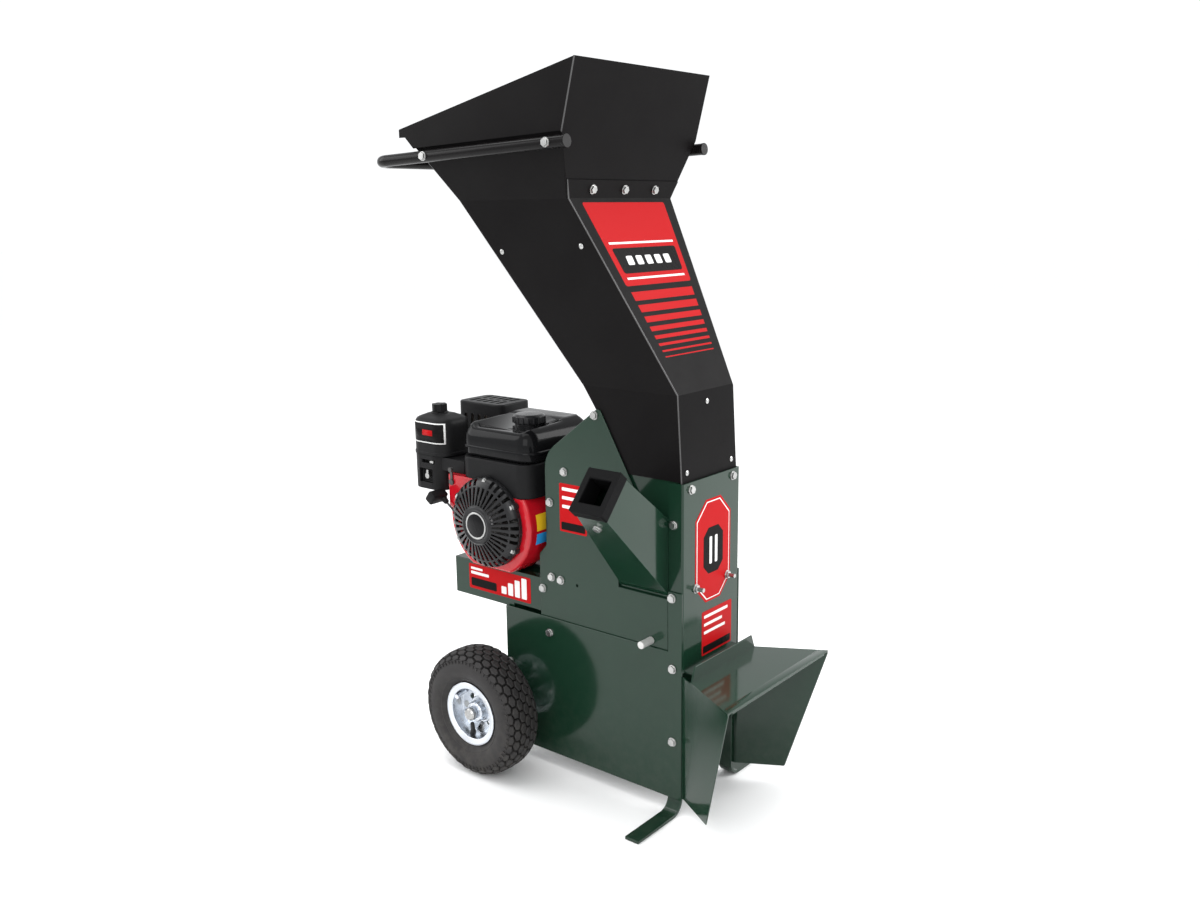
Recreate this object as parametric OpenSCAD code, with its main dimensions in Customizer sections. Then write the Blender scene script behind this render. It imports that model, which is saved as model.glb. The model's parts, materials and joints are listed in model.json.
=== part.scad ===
// Petrol garden shredder: sheet-steel rotor housing with a tall hopper, a side chute for branches,
// a belt-driven knife rotor, a small engine on a bench and two wheels.
// Working axes: X across (0 in the mid-plane), Y to the rear (0 at the front panel), Z up from the ground.

/* [Housing] */
// Width over the side plates
housing_w = 186; // [160:1:220]
// Thickness of the housing sheet
sheet_t = 3; // [2:0.5:4]
// Height of the front panel's top edge
panel_top_z = 638; // [600:1:680]
// Height of the shelf at the front panel's bottom
shelf_z = 284; // [260:1:310]
// How far the shelf stands out in front
shelf_d = 28; // [20:1:36]
// Depth of the front panel's side flanges
flange_d = 30.5; // [26:0.5:36]
// Height of the skirt's top edge
seam_z = 321; // [300:1:335]
// Height of the tabs at the skirt's front corners
tab_top_z = 437; // [400:1:460]
// Height of the skirt's bottom edge
skirt_bottom_z = 30; // [24:1:40]
// Length of the skirt
skirt_len = 440; // [400:1:480]
// Lap of the side plate behind the skirt
seam_lap = 46; // [30:1:50]
// Rear edge of the side plate, upper part
plate_rear_y = 327; // [327:1:345]
// Step in the side plate's rear edge, beside the bench
plate_step = 19; // [10:1:22]
// Place of the side plate's apex along the machine
apex_y = 190; // [180:1:200]
// Height of the side plate's apex
apex_z = 758; // [740:1:775]
// Height of the side plate's rear shoulder
shoulder_z = 653; // [640:1:665]

/* [Hopper] */
// Thickness of the hopper sheet
hopper_t = 2; // [1.5:0.5:2.5]
// Width of the hopper's mouth
mouth_w = 398; // [380:1:420]
// Width of the neck at its upper fold
neck_w = 304; // [280:1:320]
// Height of the hopper's front rim
rim_z = 1360; // [1330:1:1400]
// Place of the front rim
rim_y = 142; // [120:1:160]
// Height of the hopper's rear rim
rim_rear_z = 1266; // [1262:1:1300]
// Place of the rear rim
rim_rear_y = 583; // [575:1:600]
// Height of the neck's upper fold
upper_fold_z = 1133; // [1110:1:1150]
// Place of the neck's upper fold
upper_fold_y = 202; // [190:1:215]
// Height of the neck's lower fold
lower_fold_z = 795; // [780:1:810]
// Place of the neck's lower fold
lower_fold_y = 14.5; // [12:0.5:20]
// Height at which the flared sides turn upright
flare_z = 1243; // [1236:1:1250]
// Upper end of the neck's rear plate along the machine
chute_top_y = 545; // [535:1:555]
// Height of that end
chute_top_z = 1230; // [1220:1:1235]
// Height of the bolted flange above the upper fold
joint_h = 32; // [26:1:40]

/* [Handle] */
// Diameter of the handle tube
tube_d = 22; // [20:1:24]
// Wall of the handle tube
tube_wall = 2; // [1.5:0.5:3]
// Front end of the handle along the machine
handle_front_y = 163; // [150:1:180]
// Height of the handle's front end
handle_front_z = 1226; // [1222:1:1228]
// Length of the handle from its front end to its cross bar
handle_len = 490; // [460:1:520]
// Bend radius of the handle
handle_bend_r = 40; // [30:1:60]
// Fall of the handle towards the rear, in degrees
handle_fall = 2; // [1.5:0.1:3]

/* [Chipper chute] */
// Slope of the chute, in degrees
chute_slope = 41; // [38:1:45]
// Height of the collar along its slope
collar_h = 87; // [80:1:95]
// Width of the collar
collar_w = 72; // [66:1:80]
// Opening of the collar, square
collar_bore = 47; // [40:1:52]
// Thickness of the collar
collar_t = 20; // [14:1:26]
// Reach of the collar's face from the side plate
chute_reach = 162; // [150:1:175]
// Height of the middle of the collar's face
collar_z = 649.5; // [640:0.5:660]
// Width of the chute where it meets the rotor case
chute_base_w = 113; // [106:1:116]
// Lower edge of the chute at the rotor case
chute_base_z = 425; // [420:1:432]
// Height of the chute at the rotor case
chute_base_h = 141; // [130:1:145]

/* [Deflector] */
// Width over the deflector's outer edge
deflector_w = 355; // [330:1:380]
// Reach of the deflector in front of the panel
deflector_reach = 152; // [140:1:165]
// Reach of the deflector's side plates at the bottom
deflector_foot = 85; // [70:1:100]
// Height of the lip behind the deflector's top plate
lip_h = 27; // [20:1:32]
// Width of the hem along the deflector's outer edge
hem_w = 15; // [10:1:20]

/* [Wheels and legs] */
// Outer diameter of the tyre
tyre_d = 260; // [240:1:280]
// Width of the tyre
tyre_w = 84; // [76:1:92]
// Radius of the rim's flange
rim_r = 65; // [60:1:70]
// Distance from the mid-plane to the middle of a wheel
wheel_x = 190; // [184:1:198]
// Distance of the axle from the skirt's rear edge
axle_inset = 14; // [12:1:25]
// Diameter of the axle
axle_d = 16; // [14:1:20]
// Width of the leg's flat bar
leg_w = 30; // [24:1:36]
// Thickness of the leg's flat bar
leg_t = 6; // [5:0.5:8]
// Distance from the mid-plane to the end of a foot
foot_x = 222; // [200:1:226]

/* [Rotor and drive] */
// Place of the rotor's axis along the machine
rotor_y = 165; // [163:1:166]
// Height of the rotor's axis
rotor_z = 470; // [468:1:474]
// Radius of the knife disc
rotor_r = 140; // [130:1:142]
// Thickness of the knife disc
disc_t = 12; // [10:1:14]
// Diameter of the rotor shaft
shaft_d = 25; // [20:1:30]
// Radius of the driven pulley
driven_r = 60; // [50:1:64]
// Radius of the drive pulley
drive_r = 45; // [38:1:50]
// Diameter of the screen pin
screen_pin_d = 14; // [12:1:16]

/* [Engine] */
// Height of the engine bench
bench_z = 397; // [390:1:405]
// Rear end of the engine bench
bench_rear_y = 592; // [580:1:610]
// Place of the crankshaft along the machine
crank_y = 456; // [454:1:462]
// Height of the crankshaft above the bench
crank_h = 104; // [104:1:110]
// Radius of the blower housing
blower_r = 112; // [108:1:113]
// Radius of the recoil cover
recoil_r = 92; // [86:1:94]
// Length of the tank across the machine
tank_l = 206; // [190:1:215]
// Width of the tank along the machine
tank_w = 184; // [170:1:188]
// Height of the tank's bottom above the bench
tank_h0 = 231; // [228:1:240]
// Height of the tank
tank_h = 74; // [66:1:80]
// Diameter of the tank cap
cap_d = 68; // [60:1:72]
// Width of the air cleaner across the machine
air_x = 95; // [85:1:100]
// Length of the air cleaner along the machine
air_y = 100; // [90:1:106]
// Place of the air cleaner's rear side
air_rear_y = 696; // [690:1:702]

/* [Hidden] */
$fn = 64;

// Clearances and fasteners
fit = 0.3;
run_fit = 0.05;
bolt_r = 4;
bolt_flange_r = 8.5;
bolt_flange_t = 1.5;
bolt_hex_r = 7.3;
bolt_head_h = 6;
bolt_len = 16;
rivet_r = 5;
rivet_h = 3;

// Layers of sheet from the middle of the machine outwards
side_x = housing_w / 2;
plate_x = side_x - sheet_t;
case_x = plate_x - sheet_t;
case_in_x = case_x - sheet_t;
skirt_x = side_x + sheet_t;

// Housing outline
plate_front_y = flange_d + 2.5;
plate_low_y = plate_rear_y + plate_step;
plate_bottom_z = seam_z - seam_lap;
plate_step_z = bench_z + 52;
case_front_y = sheet_t + fit;
case_rear_y = plate_rear_y - 5;
case_bottom_z = plate_bottom_z + 30;
case_top_z = panel_top_z + 52;
tuck_z = panel_top_z - 28;

// Neck and head
throat_x = case_x + hopper_t;
head_in_x = mouth_w / 2 - hopper_t;
neck_lap = 18;
neck_foot_z = panel_top_z + 2;
neck_foot_y = sheet_t + 1;
chute_low_y = apex_y + 6;
chute_low_z = apex_z - 10;
front_lean = (upper_fold_y - rim_y) / (rim_z - upper_fold_z);
neck_lean = (lower_fold_y - neck_foot_y) / (lower_fold_z - tuck_z);
neck_flare = (neck_w / 2 - throat_x) / (upper_fold_z - lower_fold_z);
head_flare = (head_in_x - neck_w / 2) / (flare_z - upper_fold_z);
head_set = hopper_t * sqrt(1 + front_lean ^ 2) + fit;
head_gap = 2 * head_set + fit;
function head_front_y(z) = upper_fold_y - (z - upper_fold_z) * front_lean;
function neck_face_y(z) = neck_foot_y + (z - tuck_z) * neck_lean;
function neck_side_x(z) = throat_x + (z - lower_fold_z) * neck_flare;
function flare_x(z) = neck_w / 2 + (z - upper_fold_z) * head_flare;
joint_bolts = [-92, 0, 92];
front_rivets = [[0, lower_fold_z - 21], [-72, neck_foot_z + 15], [72, neck_foot_z + 15]];
side_rivets = [[upper_fold_y + 181, upper_fold_z - 94], [upper_fold_y - 14, upper_fold_z - 82]];

// Handle
tube_r = tube_d / 2;
cap_lip = 0.6;
edge_flare = (mouth_w - neck_w) / 2 / (flare_z - upper_fold_z);
handle_x = neck_w / 2 + (handle_front_z - upper_fold_z) * edge_flare + (tube_r + fit) * sqrt(1 + edge_flare ^ 2);
handle_bolts = [34, handle_len - 152];
handle_bolt_len = 2 * tube_d - 8;

// Chipper chute
chute_front_y = flange_d + 0.5;
collar_x = side_x + chute_reach;
chute_step = 3;
sleeve_in = chute_step + sheet_t + 1;
sleeve_l = 20;
chute_bolt_d = 32;

// Deflector
deflector_z = shelf_z - 7;
deflector_low_z = skirt_bottom_z + 3;
cut_run = deflector_low_z * (deflector_reach - deflector_foot) / (deflector_z - deflector_low_z);

// Wheels, axle and legs
axle_z = tyre_d / 2;
axle_r = axle_d / 2;
axle_y = skirt_len - axle_inset;
hub_half = tyre_w / 2 - 14;
hub_wall = 5;
bead_r = rim_r - 10;
rim_half = tyre_w * 0.37;
tyre_out_x = wheel_x + tyre_w / 2;
axle_end_x = wheel_x + hub_half + 8;
leg_y = 5;
leg_bend_r = skirt_bottom_z - leg_t;
leg_x = plate_x - fit;
leg_top = 135;

// Rotor
shaft_r = shaft_d / 2;
case_r = rotor_r + 12;
scroll_top_a = 62;
scroll_top = [rotor_y, rotor_z] + (case_r + sheet_t / 2) * [cos(scroll_top_a - 1), sin(scroll_top_a - 1)];
throat_top = [apex_y, apex_z - 14];
disc_x = -(case_in_x - 14);
drum_end_x = case_in_x - 26;
knife_l = rotor_r - shaft_r - 26;
knife_w = 38;
knife_t = 8;
chip_slot = 16;
anvil_t = 4.5;
anvil_h = 22;
bearing_r = shaft_r * 2 + 1;
bearing_w = 15;
cartridge_r = bearing_r + 6;
cartridge_flange_r = cartridge_r + 26;
cartridge_x0 = 2;
cartridge_x1 = side_x + 16;
screen_pin_a = -124.3;
screen_pin_y = rotor_y + (case_r + 15) * cos(screen_pin_a);
screen_pin_z = rotor_z + (case_r + 15) * sin(screen_pin_a);
screen_a0 = -132;
screen_a1 = -50;
screen_lug_r = case_r + 30;
screen_rows = 6;
screen_cols = 6;
screen_hole_r = 9;
screen_pin_out = 32;

// Engine
crank_z = bench_z + crank_h;
crank_r = 10;
pto_x = side_x + 2;
case0_x = -52;
case1_x = pto_x - 14;
shroud_x0 = -120;
shroud_x1 = -56;
shroud_t = 2;
recoil_face_x = -160;
pulley_w = 22;
pulley_x = cartridge_x1 + 3;
shaft_end_x = pulley_x + pulley_w + 8;
belt_t = 11;
belt_w0 = 17;
belt_w1 = 10;
mount_y = 162;
mount_x = 75.5;
mount_mid_x = 24;
foot_t = 10;
bench_t = 4;
bench_flange = 78.5;
bench_foot_z = bench_z - bench_flange;
relief_len = 76;
relief_h = 8.7;
tie_x = plate_x - sheet_t - 2 * fit;
tie_z = axle_z + 102;
tie_lap = 25;
slot_half = 12;
guard_x = side_x + bolt_head_h + 1;
guard_gap = 18;
cover_r = 60;
cylinder_x = 36;
barrel_w = 100;
barrel_l = 138;
barrel_h = 96;
fin_count = 7;
head_l = 28;
valve_w = 76;
valve_h = 70;
valve_l = 22;
oil_r = 12;
oil_x = -20;
fan_r = 84;
fan_blades = 14;
flywheel_x = shroud_x0 + 8;
cowl_z = bench_z + 163;
lobe_y = crank_y + 118;
lobe_z = bench_z + 187;
cowl_x0 = shroud_x0;
recoil_lugs = [30, 92, 150, 211, 330];
recoil_slots = 20;
tank_z = bench_z + tank_h0;
tank_top_z = tank_z + tank_h;
tank_x0 = -112;
tank_y0 = crank_y - 104;
tank_r = 30;
cap_x = -26;
cap_y = crank_y - 29;
air_x0 = -115;
air_y0 = air_rear_y - air_y;
air_z0 = bench_z + 143;
air_split_z = bench_z + 217;
air_top_z = bench_z + 303.5;
air_r = 34;
pocket_d = 12;
choke_y = air_y0 + 32;
choke_z = air_z0 + 60;
choke_travel = 22;
fuel_y = air_y0 + 50;
fuel_z = air_z0 + 28;
throttle_y = lobe_y - 14;
throttle_z = lobe_z - 15;
carb_x = -37;
carb_y = air_y0 - 36;
carb_z = air_z0 + 55;
muffler_x = 20;
muffler_gap = 17;
muffler_y = tank_y0 + tank_w + muffler_gap;
muffler_l = 88;
muffler_w = 122;
muffler_z = bench_z + 237;
muffler_h = 66;
guard_z0 = muffler_z - 4;
tilt = 25;
plug_x = -41;
plug_z = -30;
lead_drop = -62;
lead_run = 130;
lead_in = cylinder_x + plug_x - shroud_x1 - fit;
stud_l = 18;
rope_a = -53.13;
rope_r = 2.2;
rope_in = 15;
rope_out = 117;
starter_r = 50;
rope_x = shroud_x0 - 7;
grip_x0 = recoil_face_x;
grip_l = 42;

// Offset from the working axes to the middle of the object's foot print
reach_left = collar_x + collar_h / 2 * sin(chute_slope);
shift = [(reach_left - tyre_out_x) / 2, (deflector_reach - air_rear_y) / 2, 0];

// Vector helpers
function unit(v) = v / norm(v);
function turned(v) = [-v[1], v[0]];
function miter(a, b, c, t) =
  let (n1 = turned(unit(b - a)), n2 = turned(unit(c - b)), m = unit(n1 + n2)) b + m * t / (m * n1);
function offset_path(p, t) = [
  for (i = [0 : len(p) - 1])
    i == 0 ? p[0] + t * turned(unit(p[1] - p[0]))
    : i == len(p) - 1 ? p[i] + t * turned(unit(p[i] - p[i - 1]))
    : miter(p[i - 1], p[i], p[i + 1], t)
];
function inner(p) = [for (i = [1 : len(p) - 2]) p[i]];
function reversed(p) = [for (i = [len(p) - 1 : -1 : 0]) p[i]];
function xy(p) = [p[0], p[1]];
function corner(a, b, c, r) =
  let (
    d1 = unit(a - b), d2 = unit(c - b), half = acos(d1 * d2) / 2,
    mid = b + unit(d1 + d2) * r / sin(half),
    s = b + d1 * r / tan(half) - mid, e = b + d2 * r / tan(half) - mid,
    a0 = atan2(s[1], s[0]), turn = atan2(e[1], e[0]) - a0,
    sweep = turn > 180 ? turn - 360 : turn < -180 ? turn + 360 : turn,
    steps = max(3, ceil(abs(sweep) / 12))
  ) [for (i = [0 : steps]) mid + r * [cos(a0 + sweep * i / steps), sin(a0 + sweep * i / steps)]];
function rounded(p) = [
  for (i = [0 : len(p) - 1])
    let (n = len(p), b = xy(p[i]), a = xy(p[(i + n - 1) % n]), c = xy(p[(i + 1) % n]))
    each (len(p[i]) > 2 ? corner(a, b, c, p[i][2]) : [b])
];

// Shape helpers
module along_x(x, t) translate([x, 0, 0]) rotate([90, 0, 90]) linear_extrude(t) children();
module along_y(y, t) translate([0, y + t, 0]) rotate([90, 0, 0]) linear_extrude(t) children();
module spun_x(y, z) translate([0, y, z]) rotate([0, 90, 0]) rotate_extrude() children();
module rod_x(x0, x1, y, z, r) translate([x0, y, z]) rotate([0, 90, 0]) cylinder(r = r, h = x1 - x0);
module folded(p, t) polygon(concat(p, reversed(offset_path(p, t))));
module both_sides() { children(); mirror([1, 0, 0]) children(); }
module right_side() mirror([1, 0, 0]) children();
module placed() translate(shift) children();
module round_rect(x, y, r) translate([r, r]) union() {
  square([x - 2 * r, y - 2 * r]);
  translate([-r, 0]) square([x, y - 2 * r]);
  translate([0, -r]) square([x - 2 * r, y]);
  for (i = [0, 1], j = [0, 1]) translate([i * (x - 2 * r), j * (y - 2 * r)]) circle(r);
}

// Fasteners: the seat is at the origin and the head stands up along Z
module flange_bolt(len) {
  cylinder(r = bolt_flange_r, h = bolt_flange_t);
  cylinder(r = bolt_hex_r, h = bolt_head_h, $fn = 6);
  translate([0, 0, -len]) cylinder(r = bolt_r, h = len + 1);
}
module rivet(len) {
  intersection() {
    translate([0, 0, rivet_h - rivet_r * 1.6]) sphere(r = rivet_r * 1.6);
    cylinder(r = rivet_r, h = rivet_h);
  }
  translate([0, 0, -len]) cylinder(r = rivet_r / 2, h = len + 0.5);
}
module bolt_left(x, p, len) translate([-x, p[0], p[1]]) rotate([0, -90, 0]) flange_bolt(len);
module hole_left(p) rod_x(-skirt_x - 1, -case_in_x + 4, p[0], p[1], bolt_r + fit);

// Bolt places on the left side, as [Y, Z]
flange_bolts = [[flange_d * 0.65, shelf_z + 278]];
tab_bolts = [[flange_d * 0.7, tab_top_z - 12], [flange_d * 0.65, shelf_z + 5]];
deflector_bolts = [[flange_d * 0.65, skirt_bottom_z + 115]];
case_bolts = [[plate_rear_y - 50, shoulder_z - 29], [plate_rear_y - 12, shoulder_z - 95]];
apex_bolt = [apex_y + 10, apex_z - 16];
bench_bolts = [[plate_rear_y - 13, bench_z + 9], [plate_rear_y - 37, bench_z + 7], [plate_low_y - 8, bench_z - 19]];
lap_bolt = [plate_rear_y - 7, seam_z - 32];
axle_bolt = [axle_y + 5, axle_z + 71];
front_bolts = [[-68, panel_top_z - 13], [68, panel_top_z - 13]];
front_studs = [[-52, panel_top_z - 202], [52, panel_top_z - 202]];

// Housing sheets
module panel_section(w, d, r) {
  translate([-w / 2, r]) square([w, d - r]);
  translate([r - w / 2, 0]) square([w - 2 * r, r + 0.1]);
  for (s = [-1, 1]) translate([s * (w / 2 - r), r]) circle(r);
}
module front_panel() color("darkgreen") difference() {
  union() {
    translate([0, 0, shelf_z]) linear_extrude(panel_top_z - shelf_z) difference() {
      panel_section(housing_w, flange_d, sheet_t + 1);
      translate([0, sheet_t]) panel_section(housing_w - 2 * sheet_t, flange_d, 1);
    }
    translate([-side_x + 6, -shelf_d, shelf_z]) cube([housing_w - 12, shelf_d + sheet_t, sheet_t]);
  }
  for (p = concat(front_bolts, front_studs))
    translate([p[0], -1, p[1]]) rotate([-90, 0, 0]) cylinder(r = bolt_r + fit, h = sheet_t + 2);
  both_sides() for (p = concat(flange_bolts, tab_bolts)) hole_left(p);
}
module side_outline() polygon(rounded([
  [plate_front_y, plate_bottom_z], [plate_low_y, plate_bottom_z], [plate_low_y, plate_step_z, 10],
  [plate_rear_y, plate_step_z + 20, 10], [plate_rear_y, shoulder_z, 60], [apex_y, apex_z, 9],
  [apex_y - 106, chute_base_z + chute_base_h + 6], [chute_front_y + chute_base_w + 3, chute_base_z + chute_base_h + 6],
  [chute_front_y + chute_base_w + 3, chute_base_z - 5], [plate_front_y, chute_base_z - 5]
]));
module left_side_plate() color("darkgreen") difference() {
  along_x(-side_x, sheet_t) side_outline();
  for (p = concat(case_bolts, bench_bolts, [apex_bolt, lap_bolt])) hole_left(p);
  rod_x(-side_x - 1, -plate_x + 1, plate_rear_y - 78, bench_z + 4, 3);
  rod_x(-side_x - 1, -plate_x + 1, screen_pin_y, screen_pin_z, screen_pin_d / 2 + fit);
}
module right_outline() polygon(rounded([
  [plate_front_y, plate_bottom_z], [plate_low_y, plate_bottom_z], [plate_low_y, plate_step_z, 10],
  [plate_rear_y, plate_step_z + 20, 10], [plate_rear_y, shoulder_z, 60], [apex_y, apex_z, 9],
  [plate_front_y, apex_z - 1.82 * (apex_y - plate_front_y)]
]));
module right_side_plate() color("darkgreen") difference() {
  along_x(plate_x, sheet_t) right_outline();
  right_side() for (p = concat(case_bolts, bench_bolts, [apex_bolt, lap_bolt])) hole_left(p);
  rod_x(plate_x - 1, side_x + 1, rotor_y, rotor_z, cartridge_r + fit);
  rod_x(plate_x - 1, side_x + 1, screen_pin_y, screen_pin_z, screen_pin_d / 2 + fit);
}
module skirt() difference() {
  along_x(-skirt_x, sheet_t) polygon([
    [0, skirt_bottom_z], [skirt_len, skirt_bottom_z], [skirt_len, seam_z], [flange_d, seam_z],
    [flange_d, tab_top_z], [0, tab_top_z]
  ]);
  for (p = concat(tab_bolts, deflector_bolts, [lap_bolt, axle_bolt])) hole_left(p);
  rod_x(-skirt_x - 1, -side_x + 1, axle_y, axle_z, axle_r + fit);
}
module left_skirt() color("darkgreen") skirt();
module right_skirt() color("darkgreen") right_side() skirt();

// Belt drive between the crankshaft and the rotor
drive_run = [crank_y - rotor_y, crank_z - rotor_z];
drive_a = atan2(drive_run[1], drive_run[0]);
function wrap(ra, rb) = acos((ra - rb) / norm(drive_run));

// Rotor case: two inner walls, a scroll behind the rotor and the throat's back plate
module case_wall_outline() polygon(rounded([
  [case_front_y, case_bottom_z], [case_rear_y, case_bottom_z], [case_rear_y, shoulder_z - 12, 56],
  [apex_y + 12, apex_z - 26], [apex_y - 16, case_top_z], [neck_foot_y + 9, case_top_z],
  [neck_foot_y + 9, tuck_z - 4], [case_front_y, tuck_z - 4]
]));
// Arc of sheet round the rotor's axis, with angles from the rear towards the top
module scroll_arc(r0, r1, a0, a1, w) translate([0, rotor_y, rotor_z]) rotate([90, 0, 90])
  rotate([0, 0, a0]) rotate_extrude(angle = a1 - a0) translate([r0, -w / 2]) square([r1 - r0, w]);
module rotor_case() color("darkgreen") difference() {
  union() {
    both_sides() along_x(-case_x, sheet_t) case_wall_outline();
    scroll_arc(case_r, case_r + sheet_t, screen_a1, scroll_top_a, 2 * case_in_x + sheet_t * 0.8);
    along_x(-case_in_x - sheet_t / 2, 2 * case_in_x + sheet_t) folded([scroll_top, throat_top], -sheet_t);
  }
  along_x(-case_x - 1, sheet_t + 2) translate([chute_front_y + sheet_t, chute_base_z + sheet_t])
    square([chute_base_w - 2 * sheet_t, chute_base_h - 2 * sheet_t]);
  rod_x(case_in_x - 1, case_x + 1, rotor_y, rotor_z, cartridge_r + fit);
  both_sides() {
    for (p = concat(case_bolts, flange_bolts, tab_bolts, bench_bolts)) hole_left(p);
    rod_x(-case_x - 1, -case_in_x + 1, screen_pin_y, screen_pin_z, screen_pin_d / 2 + fit);
  }
}
module discharge_screen() color("dimgray") difference() {
  union() {
    scroll_arc(case_r, case_r + sheet_t, screen_a0, screen_a1, 2 * (case_in_x - 1));
    for (s = [-1, 1]) translate([s * (case_in_x - 12), 0, 0])
      scroll_arc(case_r + sheet_t - 0.5, screen_lug_r, screen_a0, screen_a0 + 22, sheet_t + 1);
  }
  translate([0, rotor_y, rotor_z]) for (i = [0 : screen_rows - 1], j = [0 : screen_cols - 1])
    rotate([screen_a0 + 12 + i * (screen_a1 - screen_a0 - 20) / (screen_rows - 1), 0, 0])
      translate([(j - (screen_cols - 1) / 2) * 2 * (case_in_x - 26) / (screen_cols - 1), case_r - 5, 0])
        rotate([-90, 0, 0]) cylinder(r = screen_hole_r, h = sheet_t + 10);
  rod_x(-case_x, case_x, screen_pin_y, screen_pin_z, screen_pin_d / 2 + fit);
}
module screen_pin() color("silver") {
  rod_x(-side_x - screen_pin_out, side_x + 6, screen_pin_y, screen_pin_z, screen_pin_d / 2);
  rod_x(side_x + 0.5, side_x + 5, screen_pin_y, screen_pin_z, screen_pin_d / 2 + 4);
}
module rear_cover() color("darkgreen") {
  along_x(fit - plate_x, 2 * (plate_x - fit)) folded(offset_path(concat(
    [[plate_rear_y, bench_z + fit]],
    corner([plate_rear_y, bench_z], [plate_rear_y, shoulder_z], [apex_y, apex_z], 60),
    [[apex_y, apex_z] + 40 * unit([plate_rear_y - apex_y, shoulder_z - apex_z])]), 1.7), sheet_t);
  translate([-tie_x, skirt_len - sheet_t, tie_z + 1]) cube([2 * tie_x, sheet_t, bench_foot_z - tie_z + 1]);
  translate([fit / 2 - side_x, skirt_len - sheet_t - 0.1, tie_z])
    cube([2 * side_x - fit, sheet_t, bench_foot_z - tie_z - 2.5]);
  both_sides() translate([fit / 2 - side_x, skirt_len - sheet_t - tie_lap, tie_z])
    cube([sheet_t, tie_lap + 1, bench_foot_z - tie_z - 2.5]);
}
module anvil_bar() color("gray") translate([-case_in_x, chute_front_y + 6, chute_base_z + sheet_t - anvil_h])
  cube([anvil_t, chute_base_w - 12, anvil_h]);
module engine_bench() color("darkgreen") difference() {
  union() {
    translate([-plate_x, case_rear_y + 4.5, bench_z - bench_t])
      cube([2 * plate_x, bench_rear_y - case_rear_y - 4.5, bench_t]);
    both_sides() along_x(-plate_x, sheet_t) polygon([
      [plate_rear_y - 52, bench_foot_z], [plate_low_y - 2, bench_foot_z], [plate_low_y - 2, bench_foot_z + relief_h],
      [plate_low_y + relief_len, bench_foot_z + relief_h], [plate_low_y + relief_len, bench_foot_z],
      [bench_rear_y, bench_foot_z], [bench_rear_y, bench_z],
      [plate_rear_y - 5.5, bench_z], [plate_rear_y - 5.5, bench_z + 24], [plate_rear_y - 52, bench_z + 24]
    ]);
    translate([-plate_x, bench_rear_y - sheet_t, bench_z - bench_flange / 2])
      cube([2 * plate_x, sheet_t, bench_flange / 2]);
  }
  both_sides() for (p = bench_bolts) hole_left(p);
  for (i = [-1, 1], j = [-1, 1], k = [-1, 1])
    translate([mount_mid_x + i * mount_x / 2, crank_y + j * mount_y / 2 + k * slot_half, bench_z - bench_t - 1])
      cylinder(r = bolt_r + fit, h = bench_t + 2);
  for (i = [-1, 1], j = [-1, 1])
    translate([mount_mid_x + i * mount_x / 2 - bolt_r - fit, crank_y + j * mount_y / 2 - slot_half, bench_z - bench_t - 1])
      cube([2 * (bolt_r + fit), 2 * slot_half, bench_t + 2]);
}

// Legs, axle and wheels
module leg() difference() {
  union() {
    translate([-leg_x, leg_y, skirt_bottom_z]) cube([leg_t, leg_w, leg_top]);
    translate([-leg_x - leg_bend_r, leg_y, skirt_bottom_z]) rotate([-90, 0, 0])
      rotate_extrude(angle = 90) translate([leg_bend_r, 0]) square([leg_t, leg_w]);
    translate([-foot_x, leg_y, 0]) cube([foot_x - leg_x - leg_bend_r, leg_w, leg_t]);
  }
  for (p = deflector_bolts) hole_left(p);
}
module left_leg() color("darkgreen") leg();
module right_leg() color("darkgreen") right_side() leg();
module axle() color("silver") rod_x(-axle_end_x, axle_end_x, axle_y, axle_z, axle_r);
module axle_brackets() color("darkgreen") both_sides() difference() {
  translate([-side_x + fit / 2, axle_y - 26, axle_z - 28]) cube([sheet_t, skirt_len - 2 - axle_y + 26, 125]);
  rod_x(-side_x - 1, -plate_x + 2, axle_y, axle_z, axle_r + run_fit);
  hole_left(axle_bolt);
}
module axle_retainers() color("silver") both_sides() {
  difference() {
    rod_x(-wheel_x + hub_half + fit, -skirt_x - fit, axle_y, axle_z, axle_r + 4);
    rod_x(-wheel_x, 0, axle_y, axle_z, axle_r + fit);
  }
  difference() {
    spun_x(axle_y, axle_z) polygon([
      [0, -axle_end_x - 1.5], [axle_r + 2, -axle_end_x - 1.5], [axle_r + 5, -axle_end_x + 2],
      [axle_r + 5, -wheel_x - hub_half - fit], [0, -wheel_x - hub_half - fit]
    ]);
    rod_x(-axle_end_x - fit, 0, axle_y, axle_z, axle_r + fit);
  }
}
tyre_half = rounded([
  [tyre_d / 2, 0], [tyre_d / 2, tyre_w * 0.26, 8], [tyre_d * 0.465, tyre_w * 0.45, 10], [tyre_d * 0.40, tyre_w / 2, 12],
  [rim_r + 15, tyre_w / 2, 10], [rim_r + 1, rim_half - 2.2], [bead_r + fit, rim_half - 3.4], [bead_r + fit, rim_half - 13],
  [rim_r + 6, rim_half - 12, 6], [tyre_d * 0.34, tyre_w / 2 - 9, 10], [tyre_d * 0.40, tyre_w / 2 - 10, 12],
  [tyre_d / 2 - 13, tyre_w * 0.24, 10], [tyre_d / 2 - 13, 0]
]);
module tyre() spun_x(axle_y, axle_z) translate([0, -wheel_x])
  polygon(concat(inner(tyre_half), [for (p = reversed(inner(tyre_half))) [p[0], -p[1]]]));
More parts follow.
